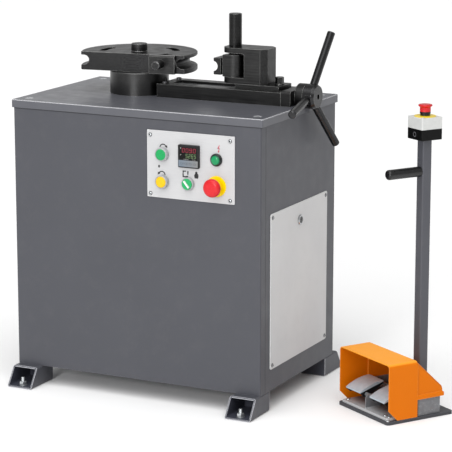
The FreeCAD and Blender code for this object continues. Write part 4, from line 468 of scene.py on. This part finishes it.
# the ends' brighter, wider edge colour is a painted highlight on their rims
shaftEndLook = dict(turnedOxideLook, edgeColour="#d2d2d2", edge=6.0, edgeMm=1.7)
pinOxideLook = dict(turnedOxideLook, colour="#2e2e2e", shade="#272727", rough=0.28, marks=0.1,
                    centre=middleOf("pivot_pin"))
handleLook = dict(oxideLook, colour="#3c3c3d", shade="#323233", rough=0.25, markMm=1.6, marks=0.3,
                  stretch=(1.0, 1.0, 1.0), edgeColour="#9c9c9c")
shaftLook = {"colour": "#55555a", "shade": "#38383a", "metal": 0.75, "rough": 0.33, "grainMm": 0.6,
             "stretch": (1.0, 1.0, 0.2), "scratch": 0.5, "grainDepthMm": 0.005, "edge": 2.5}
zincLook = {"colour": "#c9ccce", "shade": "#a4a8ab", "metal": 0.9, "rough": 0.3, "grainMm": 0.5,
            "stretch": (1.0, 1.0, 1.0), "scratch": 0.3, "grainDepthMm": 0.006}
threadLook = dict(zincLook, colour="#8a8b8d", shade="#5c5d5f", scratch=0.4, grainDepthMm=0.004)
screwLook = dict(zincLook, recessMm=1.7, rimMm=3.6)
coverScrewLook = dict(screwLook, colour="#b6b8ba", shade="#96989b", rimMm=4.1, recessMm=1.6)
capLook = dict(zincLook, colour="#6a6a6c", shade="#56565a", metal=0.6, rough=0.35, grainDepthMm=0.005, edge=3.0,
               recessMm=3.4)
weldLook = dict(zincLook, colour="#3a3b3e", shade="#2c2d2f", metal=0.5, rough=0.45, grainMm=0.8, scratch=0.4,
                grainDepthMm=0.03)
chromeLook = dict(zincLook, colour="#c2c3c5", shade="#a4a6a8", metal=1.0, rough=0.12, grainMm=0.4, scratch=0.1,
                  grainDepthMm=0.002)
panelLook = {"colour": "#bcbcbd", "shade": "#b6b6b8", "lineColour": "#c5c5c5", "lineMm": 0.6, "metal": 0.0,
             "stretch": (0.03, 1.0, 1.0), "rough": 0.5, "specular": 0.4}
pedalLook = {"colour": "#b9c5cf", "shade": "#abb6bf", "edgeColour": "#d3d6d9", "pebbleMm": 1.2, "depthMm": 0.05,
             "metal": 0.2, "rough": 0.45, "parts": [(underTreadShade, "#141416")]}
baseLook = dict(pedalLook, colour="#737477", shade="#68696c", edgeColour="#b4b4b6",
                parts=[(slabLitFront, "#b9babc"), (pedalPitShade, "#161618")])
ironLook = {"colour": "#55585a", "shade": "#44474a", "edgeColour": "#7c7f80", "pebbleMm": 1.6, "depthMm": 0.12,
            "metal": 0.3, "rough": 0.6}
gripLook = {"colour": "#080809", "shade": "#050506", "edgeColour": "#6a6a6c", "rough": 0.29, "grainMm": 0.9,
            "specular": 0.6}

plainPlastic = {"grainMm": 0.5, "grainDepthMm": 0.004, "edge": 0.8, "coat": 0.12, "rough": 0.28, "specular": 0.3}
greenLook = dict(plainPlastic, colour="#0d9c55", shade="#0b9550", edgeColour="#6fd6a2")
yellowLook = dict(plainPlastic, colour="#e8bb00", shade="#e2b400", edgeColour="#fff08a")
stopBaseLook = dict(plainPlastic, colour="#f8d800", shade="#f4d000", edgeColour="#fff08a")
boxStopBaseLook = dict(plainPlastic, colour="#f8dc20", shade="#f2d418", edgeColour="#fff08a",
                       parts=[(stationCollar, "#141415")])
stopLook = dict(plainPlastic, colour="#cf1c24", shade="#c5181f", edgeColour="#9c1119")
boxStopLook = dict(stopLook, parts=[(blackSkirt, "#050505")])
bezelLook = dict(plainPlastic, colour="#a6a8aa", shade="#9c9ea0", edgeColour="#e8e8e8", coat=0.2, edge=1.4)
blackCaseLook = dict(plainPlastic, colour="#080808", shade="#050505", edgeColour="#3d3d40", coat=0.0, rough=0.42,
                     specular=0.15, parts=[(knockoutRing, "#77777a")])
whiteCaseLook = dict(plainPlastic, colour="#cccdcb", shade="#c6c7c5", edgeColour="#ffffff", coat=0.1, rough=0.4)
selectorLook = dict(plainPlastic, colour="#e4e7e4", shade="#dadfda", edgeColour="#ffffff",
                    parts=[(knobFace, "#18a05c")])
lensLook = dict(plainPlastic, colour="#0d8f57", shade="#0b864f", edgeColour="#5fe0b0", edge=0.2,
                parts=[(lampRim, "#07563a"), (lampRing, "#0e1514")])
controllerLook = dict(plainPlastic, colour="#121213", shade="#0e0e0f", edgeColour="#3d3d40", coat=0.0, rough=0.42,
                      parts=[(keyBand, "#6f7a86"), (keyBandRight, "#7d7e7e")])

# each surface's recipe and look, and the CAD nodes that it covers
surfaces = {
    "dark_grey_powder_coat": (powderCoat, cabinetLook, nodesCalled("cabinet_")),
    "dark_grey_powder_coat_on_tube": (powderCoat, footLook, nodesCalled("foot_")),
    "dark_grey_powder_coat_on_plate": (powderCoat, plateLook, ["station_plate"]),
    "grey_powder_coat_on_post": (powderCoat, postLook, ["station_post"]),
    "table_powder_coat": (powderCoat, litTableLook, ["table_plate"]),
    "light_grey_powder_coat": (powderCoat, coverLook, ["side_cover"]),
    "orange_powder_coat": (powderCoat, guardLook, ["pedal_guard"]),
    "blue_grey_motor_paint": (powderCoat, motorLook, ["drive_motor"]),
    "black_oxide_milled_steel": (blackOxide, oxideLook, [
        "clamp_block", "slide_base", "end_block", "carriage_base", "fork_block", "die_holder", "counter_die",
        "carriage_bolt"]),
    "black_oxide_turned_steel": (blackOxide, turnedOxideLook, ["bending_die"]),
    # the bright ends are a painted highlight on the rims
    "black_oxide_shaft_with_bright_ends": (blackOxide, shaftEndLook, ["main_shaft", "clamp_pin"]),
    "oiled_black_oxide_turned_steel": (blackOxide, hubOxideLook, ["hub_housing"]),
    "black_oxide_turned_pin": (blackOxide, pinOxideLook, ["pivot_pin"]),
    "polished_black_steel": (blackOxide, handleLook, nodesCalled("handle_") + ["cover_lock"]),
    "ground_shaft_steel": (brightMetal, shaftLook, ["pedal_pin"]),
    "rolled_screw_steel": (brightMetal, threadLook, ["lead_screw"]),
    "zinc_plated_steel": (brightMetal, zincLook, nodesCalled("table_bolt_")),
    "zinc_plated_screw_steel": (brightMetal, screwLook, []),
    "dull_zinc_plated_screw_steel": (brightMetal, coverScrewLook, []),
    "blackened_cap_screw_steel": (brightMetal, capLook, []),
    "painted_weld_bead": (brightMetal, weldLook, []),
    "chrome_plated_zinc_alloy": (brightMetal, chromeLook, ["cover_lock_ring"]),
    "brushed_anodised_aluminium": (brushedSheet, panelLook, ["panel_plate"]),
    "lacquered_cast_aluminium": (castLacquer, pedalLook, ["pedal_left", "pedal_right"]),
    "lacquered_cast_base": (castLacquer, baseLook, ["pedal_base"]),
    "lacquered_cast_iron": (castLacquer, ironLook, ["gearbox"]),
    "foamed_grip_rubber": (gripRubber, gripLook, ["grip_rod"]),
    "green_button_abs": (mouldedPlastic, greenLook, ["green_cap"]),
    "yellow_button_abs": (mouldedPlastic, yellowLook, ["yellow_cap"]),
    "yellow_stop_base_abs": (mouldedPlastic, stopBaseLook, ["stop_collar"]),
    "yellow_and_black_stop_base": (mouldedPlastic, boxStopBaseLook, ["box_stop_collar"]),
    "red_stop_abs": (mouldedPlastic, stopLook, ["stop_head"]),
    "red_stop_abs_with_black_skirt": (mouldedPlastic, boxStopLook, ["box_stop_head"]),
    "silver_bezel_abs": (mouldedPlastic, bezelLook, ["green_bezel", "yellow_bezel", "selector_bezel"]),
    "black_case_abs": (mouldedPlastic, blackCaseLook, ["switch_box_base"]),
    "white_case_abs": (mouldedPlastic, whiteCaseLook, ["switch_box_cover"]),
    "green_selector_abs": (mouldedPlastic, selectorLook, ["selector_knob"]),
    "green_lens_in_black_bezel": (mouldedPlastic, lensLook, ["pilot_lamp"]),
    "black_case_with_pale_key_foil": (mouldedPlastic, controllerLook, ["controller"]),
    "black_screen_ink": (screenInk, {"colour": "#0c0c0e", "shade": "#2a2a2a"}, []),
    "red_screen_ink": (screenInk, {"colour": "#c21a3c", "shade": "#a81834"}, []),
    "dim_red_segments": (screenInk, {"colour": "#8a1f33", "shade": "#6c1a2a", "glow": 0.1}, []),
    "dim_green_segments": (screenInk, {"colour": "#6f8a5c", "shade": "#56704a", "glow": 0.08}, []),
    "smoked_display_window": (screenInk, {"colour": "#070606", "shade": "#0c0a0a", "specular": 0.2}, []),
    "white_legend": (screenInk, {"colour": "#a9a9a4", "shade": "#8f8f8b"}, []),
    "dark_key_outline": (screenInk, {"colour": "#3f4850", "shade": "#363d44"}, []),
}
materials = {}
for name, (recipe, look, covered) in surfaces.items():
    materials[name] = makeMaterial(name, recipe, look)
    for node in covered:
        data = nodes[node].data
        data.materials.clear()
        data.materials.append(materials[name])
print("materials made and finishes set")

# A plain pale floor in a white room, under an even overhead light, a large softbox by the camera
# and a smaller one behind
stageSettings = {
    "colour": "#fcfcfc", "shade": "#fafafa", "shadeMm": 400.0, "rough": 0.9, "specular": 0.1,
    "half": 14.0, "drop": 0.5 * mm, "room": 0.5, "aim": (0.1, 0.0, 0.5),
    "overhead": {"strength": 2.0, "angle": math.radians(70), "place": (0.95, -2.69, 5.8)},
    "softbox": {"strength": 120.0, "size": 1.2, "place": (0.4, -5.6, 1.9)},
    "backlight": {"strength": 4.6, "size": 1.6, "place": (-3.4, 5.0, 1.9)},
}


# Seamless studio paper: matt and almost white.
def studioPaper(tree, where, look):
    shade = patches(tree, where, look["shadeMm"], detail=2.0)
    return {"Base Color": coats(tree, where, look, [([shade], look["shade"])]), "Roughness": look["rough"],
            "Specular IOR Level": look["specular"]}


def makeStage(settings):
    half = settings["half"]
    mesh = bpy.data.meshes.new("floor")
    mesh.from_pydata([(-half, -half, 0), (half, -half, 0), (half, half, 0), (-half, half, 0)], [],
                     [(0, 1, 2, 3)])
    mesh.materials.append(makeMaterial("pale_studio_floor", studioPaper, settings))
    floor = bpy.data.objects.new("floor", mesh)
    floor.location.z = -settings["drop"]
    scene.collection.objects.link(floor)
    world = bpy.data.worlds.new("white_room")
    scene.world = world
    world.use_nodes = True
    backing = world.node_tree.nodes["Background"]
    backing.inputs["Color"].default_value = linearColour("#ffffff")
    backing.inputs["Strength"].default_value = settings["room"]
    for name in ("overhead", "softbox", "backlight"):
        light = settings[name]
        data = bpy.data.lights.new(name, "AREA" if "size" in light else "SUN")
        data.energy = light["strength"]
        if "size" in light:
            data.size = light["size"]
        else:
            data.angle = light["angle"]
        lamp = bpy.data.objects.new(name, data)
        lamp.location = light["place"]
        aim = Vector(settings["aim"]) - Vector(light["place"])
        lamp.rotation_euler = aim.to_track_quat("-Z", "Y").to_euler()
        scene.collection.objects.link(lamp)


makeStage(stageSettings)
print("stage and lights made")


def addPiece(name, mesh, finish, body, place):
    if not mesh.materials:
        mesh.materials.append(materials[finish])
    piece = bpy.data.objects.new(name, mesh)
    piece.matrix_world = place
    scene.collection.objects.link(piece)
    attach(piece, body)
    return piece


def meshFrom(name, bm):
    bmesh.ops.recalc_face_normals(bm, faces=bm.faces)
    mesh = bpy.data.meshes.new(name)
    bm.to_mesh(mesh)
    bm.free()
    return mesh


def latheMesh(name, profile, steps):
    # (radius, height) points in millimetres turned about Z; a radius of 0 is one point
    bm = bmesh.new()
    rings = []
    for radius, height in profile:
        ring = []
        for step in range(steps if radius else 1):
            angle = 2 * math.pi * step / steps
            ring.append(bm.verts.new((
                radius * mm * math.cos(angle), radius * mm * math.sin(angle), height * mm)))
        rings.append(ring)
    for low, high in zip(rings, rings[1:]):
        for step in range(steps):
            after = (step + 1) % steps
            outline = []
            for ring, turn in ((low, step), (low, after), (high, after), (high, step)):
                corner = ring[turn % len(ring)]
                if corner not in outline:
                    outline.append(corner)
            if len(outline) > 2:
                bm.faces.new(outline)
    return meshFrom(name, bm)


def turnTo(direction, place, spin=0.0, scale=1.0):
    # stands a piece built along +Z at a place, pointing in a direction
    facing = Vector(direction).to_track_quat("Z", "Y").to_matrix().to_4x4()
    return Matrix.Translation(Vector(place)) @ facing @ Matrix.Rotation(spin, 4, "Z") @ Matrix.Scale(scale, 4)


def fourCorners(left, right, top, bottom):
    return [(across, up) for up in (top, bottom) for across in (left, right)]


# Button head screws with a hexagon socket, in millimetres
screwSettings = {"radius": 4.9, "height": 2.7, "sink": 0.05, "socket": 1.6, "socketDeep": 1.4,
                 "crown": [(1.0, 0.2), (0.93, 0.5), (0.76, 0.78), (0.5, 0.96)]}


def makeButtonScrew(name, settings):
    radius, height, socket = settings["radius"], settings["height"], settings["socket"]
    floor = height - settings["socketDeep"]
    crown = [(radius * wide, height * high) for wide, high in settings["crown"]]
    head = latheMesh(name + "_head", [
        (0, -settings["sink"]), (radius, -settings["sink"]), *crown, (0, height)], 36)
    hexagon = latheMesh(name + "_socket", [(0, floor), (socket, floor), (socket, height + 1), (0, height + 1)], 6)
    body = bpy.data.objects.new(name + "_head", head)
    tool = bpy.data.objects.new(name + "_socket", hexagon)
    for piece in (body, tool):
        scene.collection.objects.link(piece)
    cut = body.modifiers.new("cut", "BOOLEAN")
    cut.object = tool
    cut.solver = "EXACT"
    result = bpy.data.meshes.new_from_object(body.evaluated_get(bpy.context.evaluated_depsgraph_get()))
    result.name = name
    for piece in (body, tool):
        bpy.data.objects.remove(piece)
    return result


panelInset = {"left": 8.5 * mm, "right": 12 * mm, "top": 12 * mm, "bottom": 8.5 * mm}
coverInset = 10 * mm
boxReach = 23
stationScrews = [(-97, 8, 8), (97, 4, 8), (-88, 14, 14), (72, 14, 14), (88, 14, 14)]
boxMiddle = middleOf("switch_box_cover")
boxLid = Vector((boxMiddle.x, boxMiddle.y, boxTop))
panelCorners = fourCorners(panelLow.x + panelInset["left"], panelHigh.x - panelInset["right"],
                           panelHigh.z - panelInset["top"], panelLow.z + panelInset["bottom"])
coverCorners = fourCorners(coverLow.y + coverInset, coverHigh.y - coverInset,
                           coverHigh.z - coverInset, coverLow.z + coverInset)
boxCorners = fourCorners(-boxReach, boxReach, -boxReach, boxReach)
# each set's finish, body, direction, first spin, spin from one to the next, scale and places
screwSets = {
    "panel_screw": ("zinc_plated_screw_steel", "machine", (0, -1, 0), 0.4, 0.7, 1.0,
                    [(x, panelLow.y, z) for x, z in panelCorners]),
    "cover_screw": ("dull_zinc_plated_screw_steel", "machine", alongX, 0.2, 0.9, 1.0,
                    [(coverHigh.x, y, z) for y, z in coverCorners]),
    "station_screw": ("zinc_plated_steel", "station", alongZ, 0.0, 0.8, 1.15,
                      [atStation(*place) for place in stationScrews]),
    "box_screw": ("white_case_abs", "station", alongZ, 0.0, 1.0, 0.62,
                  [boxLid + stationSpin @ Vector((x, y, 0)) * mm for x, y in boxCorners]),
}
for name, (finish, body, direction, spin, spinStep, scale, places) in screwSets.items():
    mesh = makeButtonScrew(name, screwSettings)
    for index, spot in enumerate(places):
        place = turnTo(direction, spot, spin + index * spinStep, scale)
        addPiece("%s_%d" % (name, index), mesh, finish, body, place)
print("screws placed")

# Two socket head screws that hold the slide on the table, in millimetres
capSettings = {"radius": 6.5, "height": 4.2, "socket": 3.46, "socketDeep": 3.6, "edge": 0.6, "lip": 0.4,
               "fromEnd": 14, "fromSide": 18}


def makeCapScrew(name, settings):
    radius, height, edge, socket, lip = (settings[key] for key in ("radius", "height", "edge", "socket", "lip"))
    floor = height - settings["socketDeep"]
    return latheMesh(name, [
        (0, 0), (radius, 0), (radius, height - edge), (radius - edge, height), (socket + lip, height),
        (socket, height - lip), (socket, floor), (0, floor)], 36)


capScrew = makeCapScrew("slide_screw", capSettings)
for index, y in enumerate([slideHigh.y - capSettings["fromSide"] * mm, slideLow.y + capSettings["fromSide"] * mm]):
    place = turnTo(alongZ, (slideLow.x + capSettings["fromEnd"] * mm, y, slideHigh.z))
    addPiece("slide_screw_%d" % index, capScrew, "blackened_cap_screw_steel", "machine", place)
print("slide screws placed")

# The slide's screw with its trapezoidal thread, in millimetres; a flank is a share of the pitch
screwLow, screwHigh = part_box("lead_screw")
threadSettings = {"pitch": 6.0, "crest": 10.0, "root": 7.4, "tail": 6.0, "journal": 8.0, "steps": 24,
                  "startIn": 30.3, "endIn": 0.3, "sink": 0.2, "tailEdge": 0.5, "journalEdge": 1.0,
                  "flanks": (0.08, 0.3, 0.66, 0.88)}


def makeLeadScrew(name, settings):
    # built along Z from the tail's end
    tail, root, crest, journal = (settings[key] for key in ("tail", "root", "crest", "journal"))
    tailEdge, journalEdge = settings["tailEdge"], settings["journalEdge"]
    length = (screwHigh.x - screwLow.x) / mm
    start = (slideLow.x - screwLow.x) / mm + settings["startIn"]
    end = (slideHigh.x - screwLow.x) / mm - settings["endIn"]
    core = latheMesh(name + "_core", [
        (0, 0), (tail - tailEdge, 0), (tail, tailEdge), (tail, start), (root, start), (root, end),
        (journal, end), (journal, length - journalEdge), (journal - journalEdge, length), (0, length)], 40)
    bm = bmesh.new()
    bm.from_mesh(core)
    bpy.data.meshes.remove(core)
    pitch, steps, sunk = settings["pitch"], settings["steps"], root - settings["sink"]
    before = None
    for step in range(int((end - start) / pitch * steps) + 1):
        angle = 2 * math.pi * step / steps
        row = []
        for flank, radius in zip(settings["flanks"], (sunk, crest, crest, sunk)):
            height = min(start + pitch * (step / steps + flank), end)
            row.append(bm.verts.new((
                radius * mm * math.cos(angle), radius * mm * math.sin(angle), height * mm)))
        if before:
            for index in range(len(row) - 1):
                bm.faces.new([before[index], before[index + 1], row[index + 1], row[index]])
        before = row
    return meshFrom(name, bm)


screwMiddle = middleOf("lead_screw")
leadScrew = addPiece(
    "lead_screw_thread", makeLeadScrew("lead_screw_thread", threadSettings), "rolled_screw_steel", "handle",
    turnTo(alongX, (screwLow.x, screwMiddle.y, screwMiddle.z)))
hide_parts("lead_screw")
print("lead screw threaded")

# Anchor bolts in the open mouths of the feet, in millimetres
anchorSettings = {"stud": 5.0, "studTop": 25.0, "studEdge": 0.9, "studFootEdge": 0.4, "nutFlats": 17.0,
                  "nutHigh": 8.4, "nutEdge": 1.2, "washer": 10.5, "washerHigh": 2.0, "washerOut": 0.4,
                  "washerDown": 0.3, "floor": 4.05, "threadPitch": 1.5, "threadDeep": 0.6,
                  "across": 310, "along": 258}


def makeAnchor(settings):
    low, radius, washer = settings["floor"], settings["stud"], settings["washer"]
    nutLow = low + settings["washerHigh"]
    nutTop = nutLow + settings["nutHigh"]
    thread = []
    height = nutTop
    while height < settings["studTop"] - settings["threadPitch"]:
        thread += [(radius, height), (radius - settings["threadDeep"], height + settings["threadPitch"] / 2)]
        height += settings["threadPitch"]
    flat = settings["nutFlats"] / 2
    corner = settings["nutFlats"] / math.sqrt(3)
    edge = settings["nutEdge"]
    return {
        "stud": latheMesh("anchor_stud", [
            (0, low), (radius - settings["studFootEdge"], low), *thread,
            (radius - settings["studEdge"], settings["studTop"]), (0, settings["studTop"])], 24),
        "washer": latheMesh("anchor_washer", [
            (0, low), (washer, low), (washer, nutLow - settings["washerDown"]),
            (washer - settings["washerOut"], nutLow), (0, nutLow)], 40),
        "nut": latheMesh("anchor_nut", [
            (0, nutLow), (flat, nutLow), (corner, nutLow + edge), (corner, nutTop - edge), (flat, nutTop),
            (0, nutTop)], 6),
    }


anchorMeshes = makeAnchor(anchorSettings)
for side, x in (("left", -anchorSettings["across"]), ("right", anchorSettings["across"])):
    for end, y in (("front", -anchorSettings["along"]), ("back", anchorSettings["along"])):
        for part, mesh in anchorMeshes.items():
            addPiece("anchor_%s_%s_%s" % (part, end, side), mesh, "zinc_plated_steel", "machine",
                     Matrix.Translation((x * mm, y * mm, 0)))
print("anchors placed")

# The weld round the foot of the post, in millimetres; its section is in shares of the bead
weldSettings = {"half": 13.25, "bead": 3.2, "corner": 3.5, "cornerSteps": 6, "sideSteps": 12, "swell": 0.14,
                "ripple": 2.4, "tuck": 0.3, "plateTop": 8}


def makeWeld(name, settings):
    # a rippled bead round a square tube, built about Z
    half, bead, corner, tuck = (settings[key] for key in ("half", "bead", "corner", "tuck"))
    flat = half - corner
    path = []
    for quarter in range(4):
        turn = quarter * math.pi / 2
        side = []
        for step in range(settings["cornerSteps"] + 1):
            angle = math.pi / 2 * step / settings["cornerSteps"]
            side.append((flat + corner * math.cos(angle), flat + corner * math.sin(angle), angle))
        for step in range(1, settings["sideSteps"]):
            side.append((flat * (1 - 2 * step / settings["sideSteps"]), half, math.pi / 2))
        for x, y, angle in side:
            path.append((x * math.cos(turn) - y * math.sin(turn), x * math.sin(turn) + y * math.cos(turn),
                         angle + turn))
    bm = bmesh.new()
    rings = []
    for index, (x, y, angle) in enumerate(path):
        swell = 1.0 + settings["swell"] * math.sin(index * settings["ripple"])
        section = [(-tuck, 0), (bead * swell, 0), (bead * 0.75 * swell, bead * 0.45 * swell),
                   (bead * 0.35, bead * 0.85 * swell), (-tuck, bead * swell)]
        rings.append([bm.verts.new((
            (x + out * math.cos(angle)) * mm, (y + out * math.sin(angle)) * mm, up * mm)) for out, up in section])
    for before, after in zip(rings, rings[1:] + rings[:1]):
        for index in range(len(before) - 1):
            bm.faces.new([before[index], before[index + 1], after[index + 1], after[index]])
    return meshFrom(name, bm)


postMiddle = middleOf("station_post")
postFoot = Matrix.Translation((postMiddle.x, postMiddle.y, weldSettings["plateTop"] * mm))
addPiece("post_weld", makeWeld("post_weld", weldSettings), "painted_weld_bead", "station",
         postFoot @ stationSpin.to_4x4())
print("weld laid")

# Prints on the control panel, each a thin layer of ink in millimetres from the middle of a control
printThick = 0.12


def ovalPoints(x, z, wide, high, steps, start=0, end=360):
    # points along an oval between two angles in degrees, with both ends
    turns = [math.radians(start + (end - start) * step / steps) for step in range(steps + 1)]
    return [(x + wide * math.cos(turn), z + high * math.sin(turn)) for turn in turns]


def bandBetween(inner, outer):
    return list(zip(inner, outer, outer[1:], inner[1:]))


def bar(left, right, low, high):
    return [(left, low), (right, low), (right, high), (left, high)]


def mirrored(shapes):
    return [[(-x, z) for x, z in reversed(outline)] for outline in shapes]


def printOnPanel(name, shapes, control, shift, finish, proud=0.0, thick=printThick):
    # flat outlines in the XZ plane, given a little thickness towards the operator
    bm = bmesh.new()
    for outline in shapes:
        back = [bm.verts.new((x * mm, 0, z * mm)) for x, z in outline]
        front = [bm.verts.new((x * mm, -thick * mm, z * mm)) for x, z in outline]
        bm.faces.new(front)
        for index in range(len(outline)):
            after = (index + 1) % len(outline)
            bm.faces.new([back[index], back[after], front[after], front[index]])
    middle = middleOf(control)
    place = (middle.x + shift[0] * mm, panelLow.y - proud * mm, middle.z + shift[1] * mm)
    addPiece(name, meshFrom(name, bm), finish, "machine", Matrix.Translation(place))


turnRight = bandBetween(ovalPoints(0, -4.6, 7.2, 7.2, 14, 178, 32), ovalPoints(0, -4.6, 9.8, 9.8, 14, 178, 32))
turnRight.append([(11.8, -5.2), (4.4, -1.4), (10.9, 2.4)])
dot = [ovalPoints(0, 0, 2.4, 3.8, 18)[:-1]]
# four bent arrows round a square
automatic = [
    bar(-8.0, -4.8, 2.0, 8.0), bar(-4.8, -1.0, 5.2, 8.0), [(-1.2, 4.2), (2.0, 6.6), (-1.2, 9.0)],
    [(4.4, 7.2), (5.2, -1.6), (6.4, -3.2), (7.6, -1.6), (8.6, 7.2)],
    bar(-8.2, -5.0, -6.0, 0.4), [(-9.2, -0.8), (-4.2, -0.8), (-6.6, 2.2)],
    bar(-8.2, 6.4, -8.6, -5.6), [(1.8, -9.4), (7.2, -9.4), (7.2, -4.4), (1.8, -5.0)],
]
# a closed hand with one finger raised
hand = [
    [(-4.2, -8.6), (4.4, -8.6), (5.8, -4.0), (5.6, 1.6), (3.4, 3.4), (-3.6, 3.0), (-5.6, -0.2), (-5.8, -4.4)],
    [(-3.4, 2.7), (3.2, 2.7), (2.8, 6.0), (1.6, 8.2), (-0.4, 8.8), (-2.2, 8.2), (-3.2, 6.0)],
]
# the flash that stands for mains power
mains = [
    [(1.6, 9.0), (-3.4, 1.0), (-1.0, 0.6), (3.4, 8.6)],
    [(-3.4, 1.0), (2.6, 0.4), (3.0, 2.2), (-2.0, 2.6)],
    [(3.0, 1.6), (0.8, 1.2), (-0.4, -6.0), (1.0, -6.0)],
    [(-2.4, -5.2), (0.6, -9.2), (2.6, -5.2)],
]
printOnPanel("print_turn_right", turnRight, "green_cap", (0, 20.2), "black_screen_ink")
printOnPanel("print_turn_left", mirrored(turnRight), "yellow_cap", (-3.5, 20.5), "black_screen_ink")
printOnPanel("print_dot", dot, "yellow_cap", (-11.4, 36.5), "black_screen_ink")
printOnPanel("print_automatic", automatic, "selector_knob", (-8.2, 23.5), "black_screen_ink")
printOnPanel("print_hand", hand, "selector_knob", (21.4, 23), "black_screen_ink")
printOnPanel("print_mains", mains, "pilot_lamp", (5, 27), "red_screen_ink")
print("panel prints made")

# Controller: a smoked window with dim digits over a row of keys under a pale foil
controllerSettings = {"window": (-23.2, 23.2, -8.2, 22.2), "windowDeep": 1.9, "windowSunk": 0.05,
                      "windowThick": 0.15, "digitThick": 0.1, "width": 7.6, "height": 11.6, "stroke": 1.9,
                      "lean": 0.1, "gap": 0.2, "keys": 4, "keyStep": 11.75, "keyHeight": -17.5,
                      "key": (3.0, 1.7), "keyLine": 0.7, "keyThick": 0.08}
digitRows = {
    "display_angle": {"digits": "0090", "x": -17.4, "z": 9.3, "step": 9.9, "wide": 1.0, "high": 1.0,
                      "finish": "dim_red_segments"},
    "display_target": {"digits": "5265", "x": -7.6, "z": -3.8, "step": 7.5, "wide": 0.74, "high": 0.92,
                       "finish": "dim_green_segments"},
}
litSegments = {"0": "abcdef", "2": "abged", "5": "afgcd", "6": "afgedc", "9": "abcdfg"}


def digitShapes(character, x, z, wide, high, settings):
    width, height, stroke = settings["width"] * wide, settings["height"] * high, settings["stroke"] * wide
    half, gap = height / 2, settings["gap"]
    bars = {
        "a": (x, x + width, z + height - stroke, z + height), "d": (x, x + width, z, z + stroke),
        "g": (x, x + width, z + half - stroke / 2, z + half + stroke / 2),
        "f": (x, x + stroke, z + half, z + height), "e": (x, x + stroke, z, z + half),
        "b": (x + width - stroke, x + width, z + half, z + height),
        "c": (x + width - stroke, x + width, z, z + half),
    }
    shapes = []
    for letter in litSegments[character]:
        left, right, low, top = bars[letter]
        outline = bar(left + gap, right - gap, low + gap, top - gap)
        shapes.append([(px + settings["lean"] * (pz - z), pz) for px, pz in outline])
    return shapes


frontProud = (panelLow.y - controllerFront) / mm
windowProud = frontProud - controllerSettings["windowDeep"]
windowSunk, windowThick = controllerSettings["windowSunk"], controllerSettings["windowThick"]
digitProud, digitThick = windowProud + windowThick - windowSunk, controllerSettings["digitThick"]
printOnPanel("display_window", [bar(*controllerSettings["window"])], "controller", (0, 0), "smoked_display_window",
             windowProud - windowSunk, windowThick)
for name, row in digitRows.items():
    shapes = []
    for index, character in enumerate(row["digits"]):
        shapes += digitShapes(character, row["x"] + index * row["step"], row["z"], row["wide"], row["high"],
                              controllerSettings)
    printOnPanel(name, shapes, "controller", (0, 0), row["finish"], digitProud, digitThick)
legend = [ovalPoints(-20.4, 20.0, 1.3, 1.3, 10)[:-1], ovalPoints(-20.4, 3.6, 1.1, 1.1, 10)[:-1]]
legend += [bar(x - 1.4, x + 1.4, -7.4, -6.3) for x in (-11, -6, -1, 13, 18)]
printOnPanel("display_legend", legend, "controller", (0, 0), "white_legend", digitProud, digitThick)
keys = []
z, line = controllerSettings["keyHeight"], controllerSettings["keyLine"]
wide, high = controllerSettings["key"]
for index in range(controllerSettings["keys"]):
    x = (index - (controllerSettings["keys"] - 1) / 2) * controllerSettings["keyStep"]
    keys += bandBetween(ovalPoints(x, z, wide, high, 24), ovalPoints(x, z, wide + line, high + line, 24))
printOnPanel("key_outlines", keys, "controller", (0, 0), "dark_key_outline", frontProud,
             controllerSettings["keyThick"])
print("controller face made")
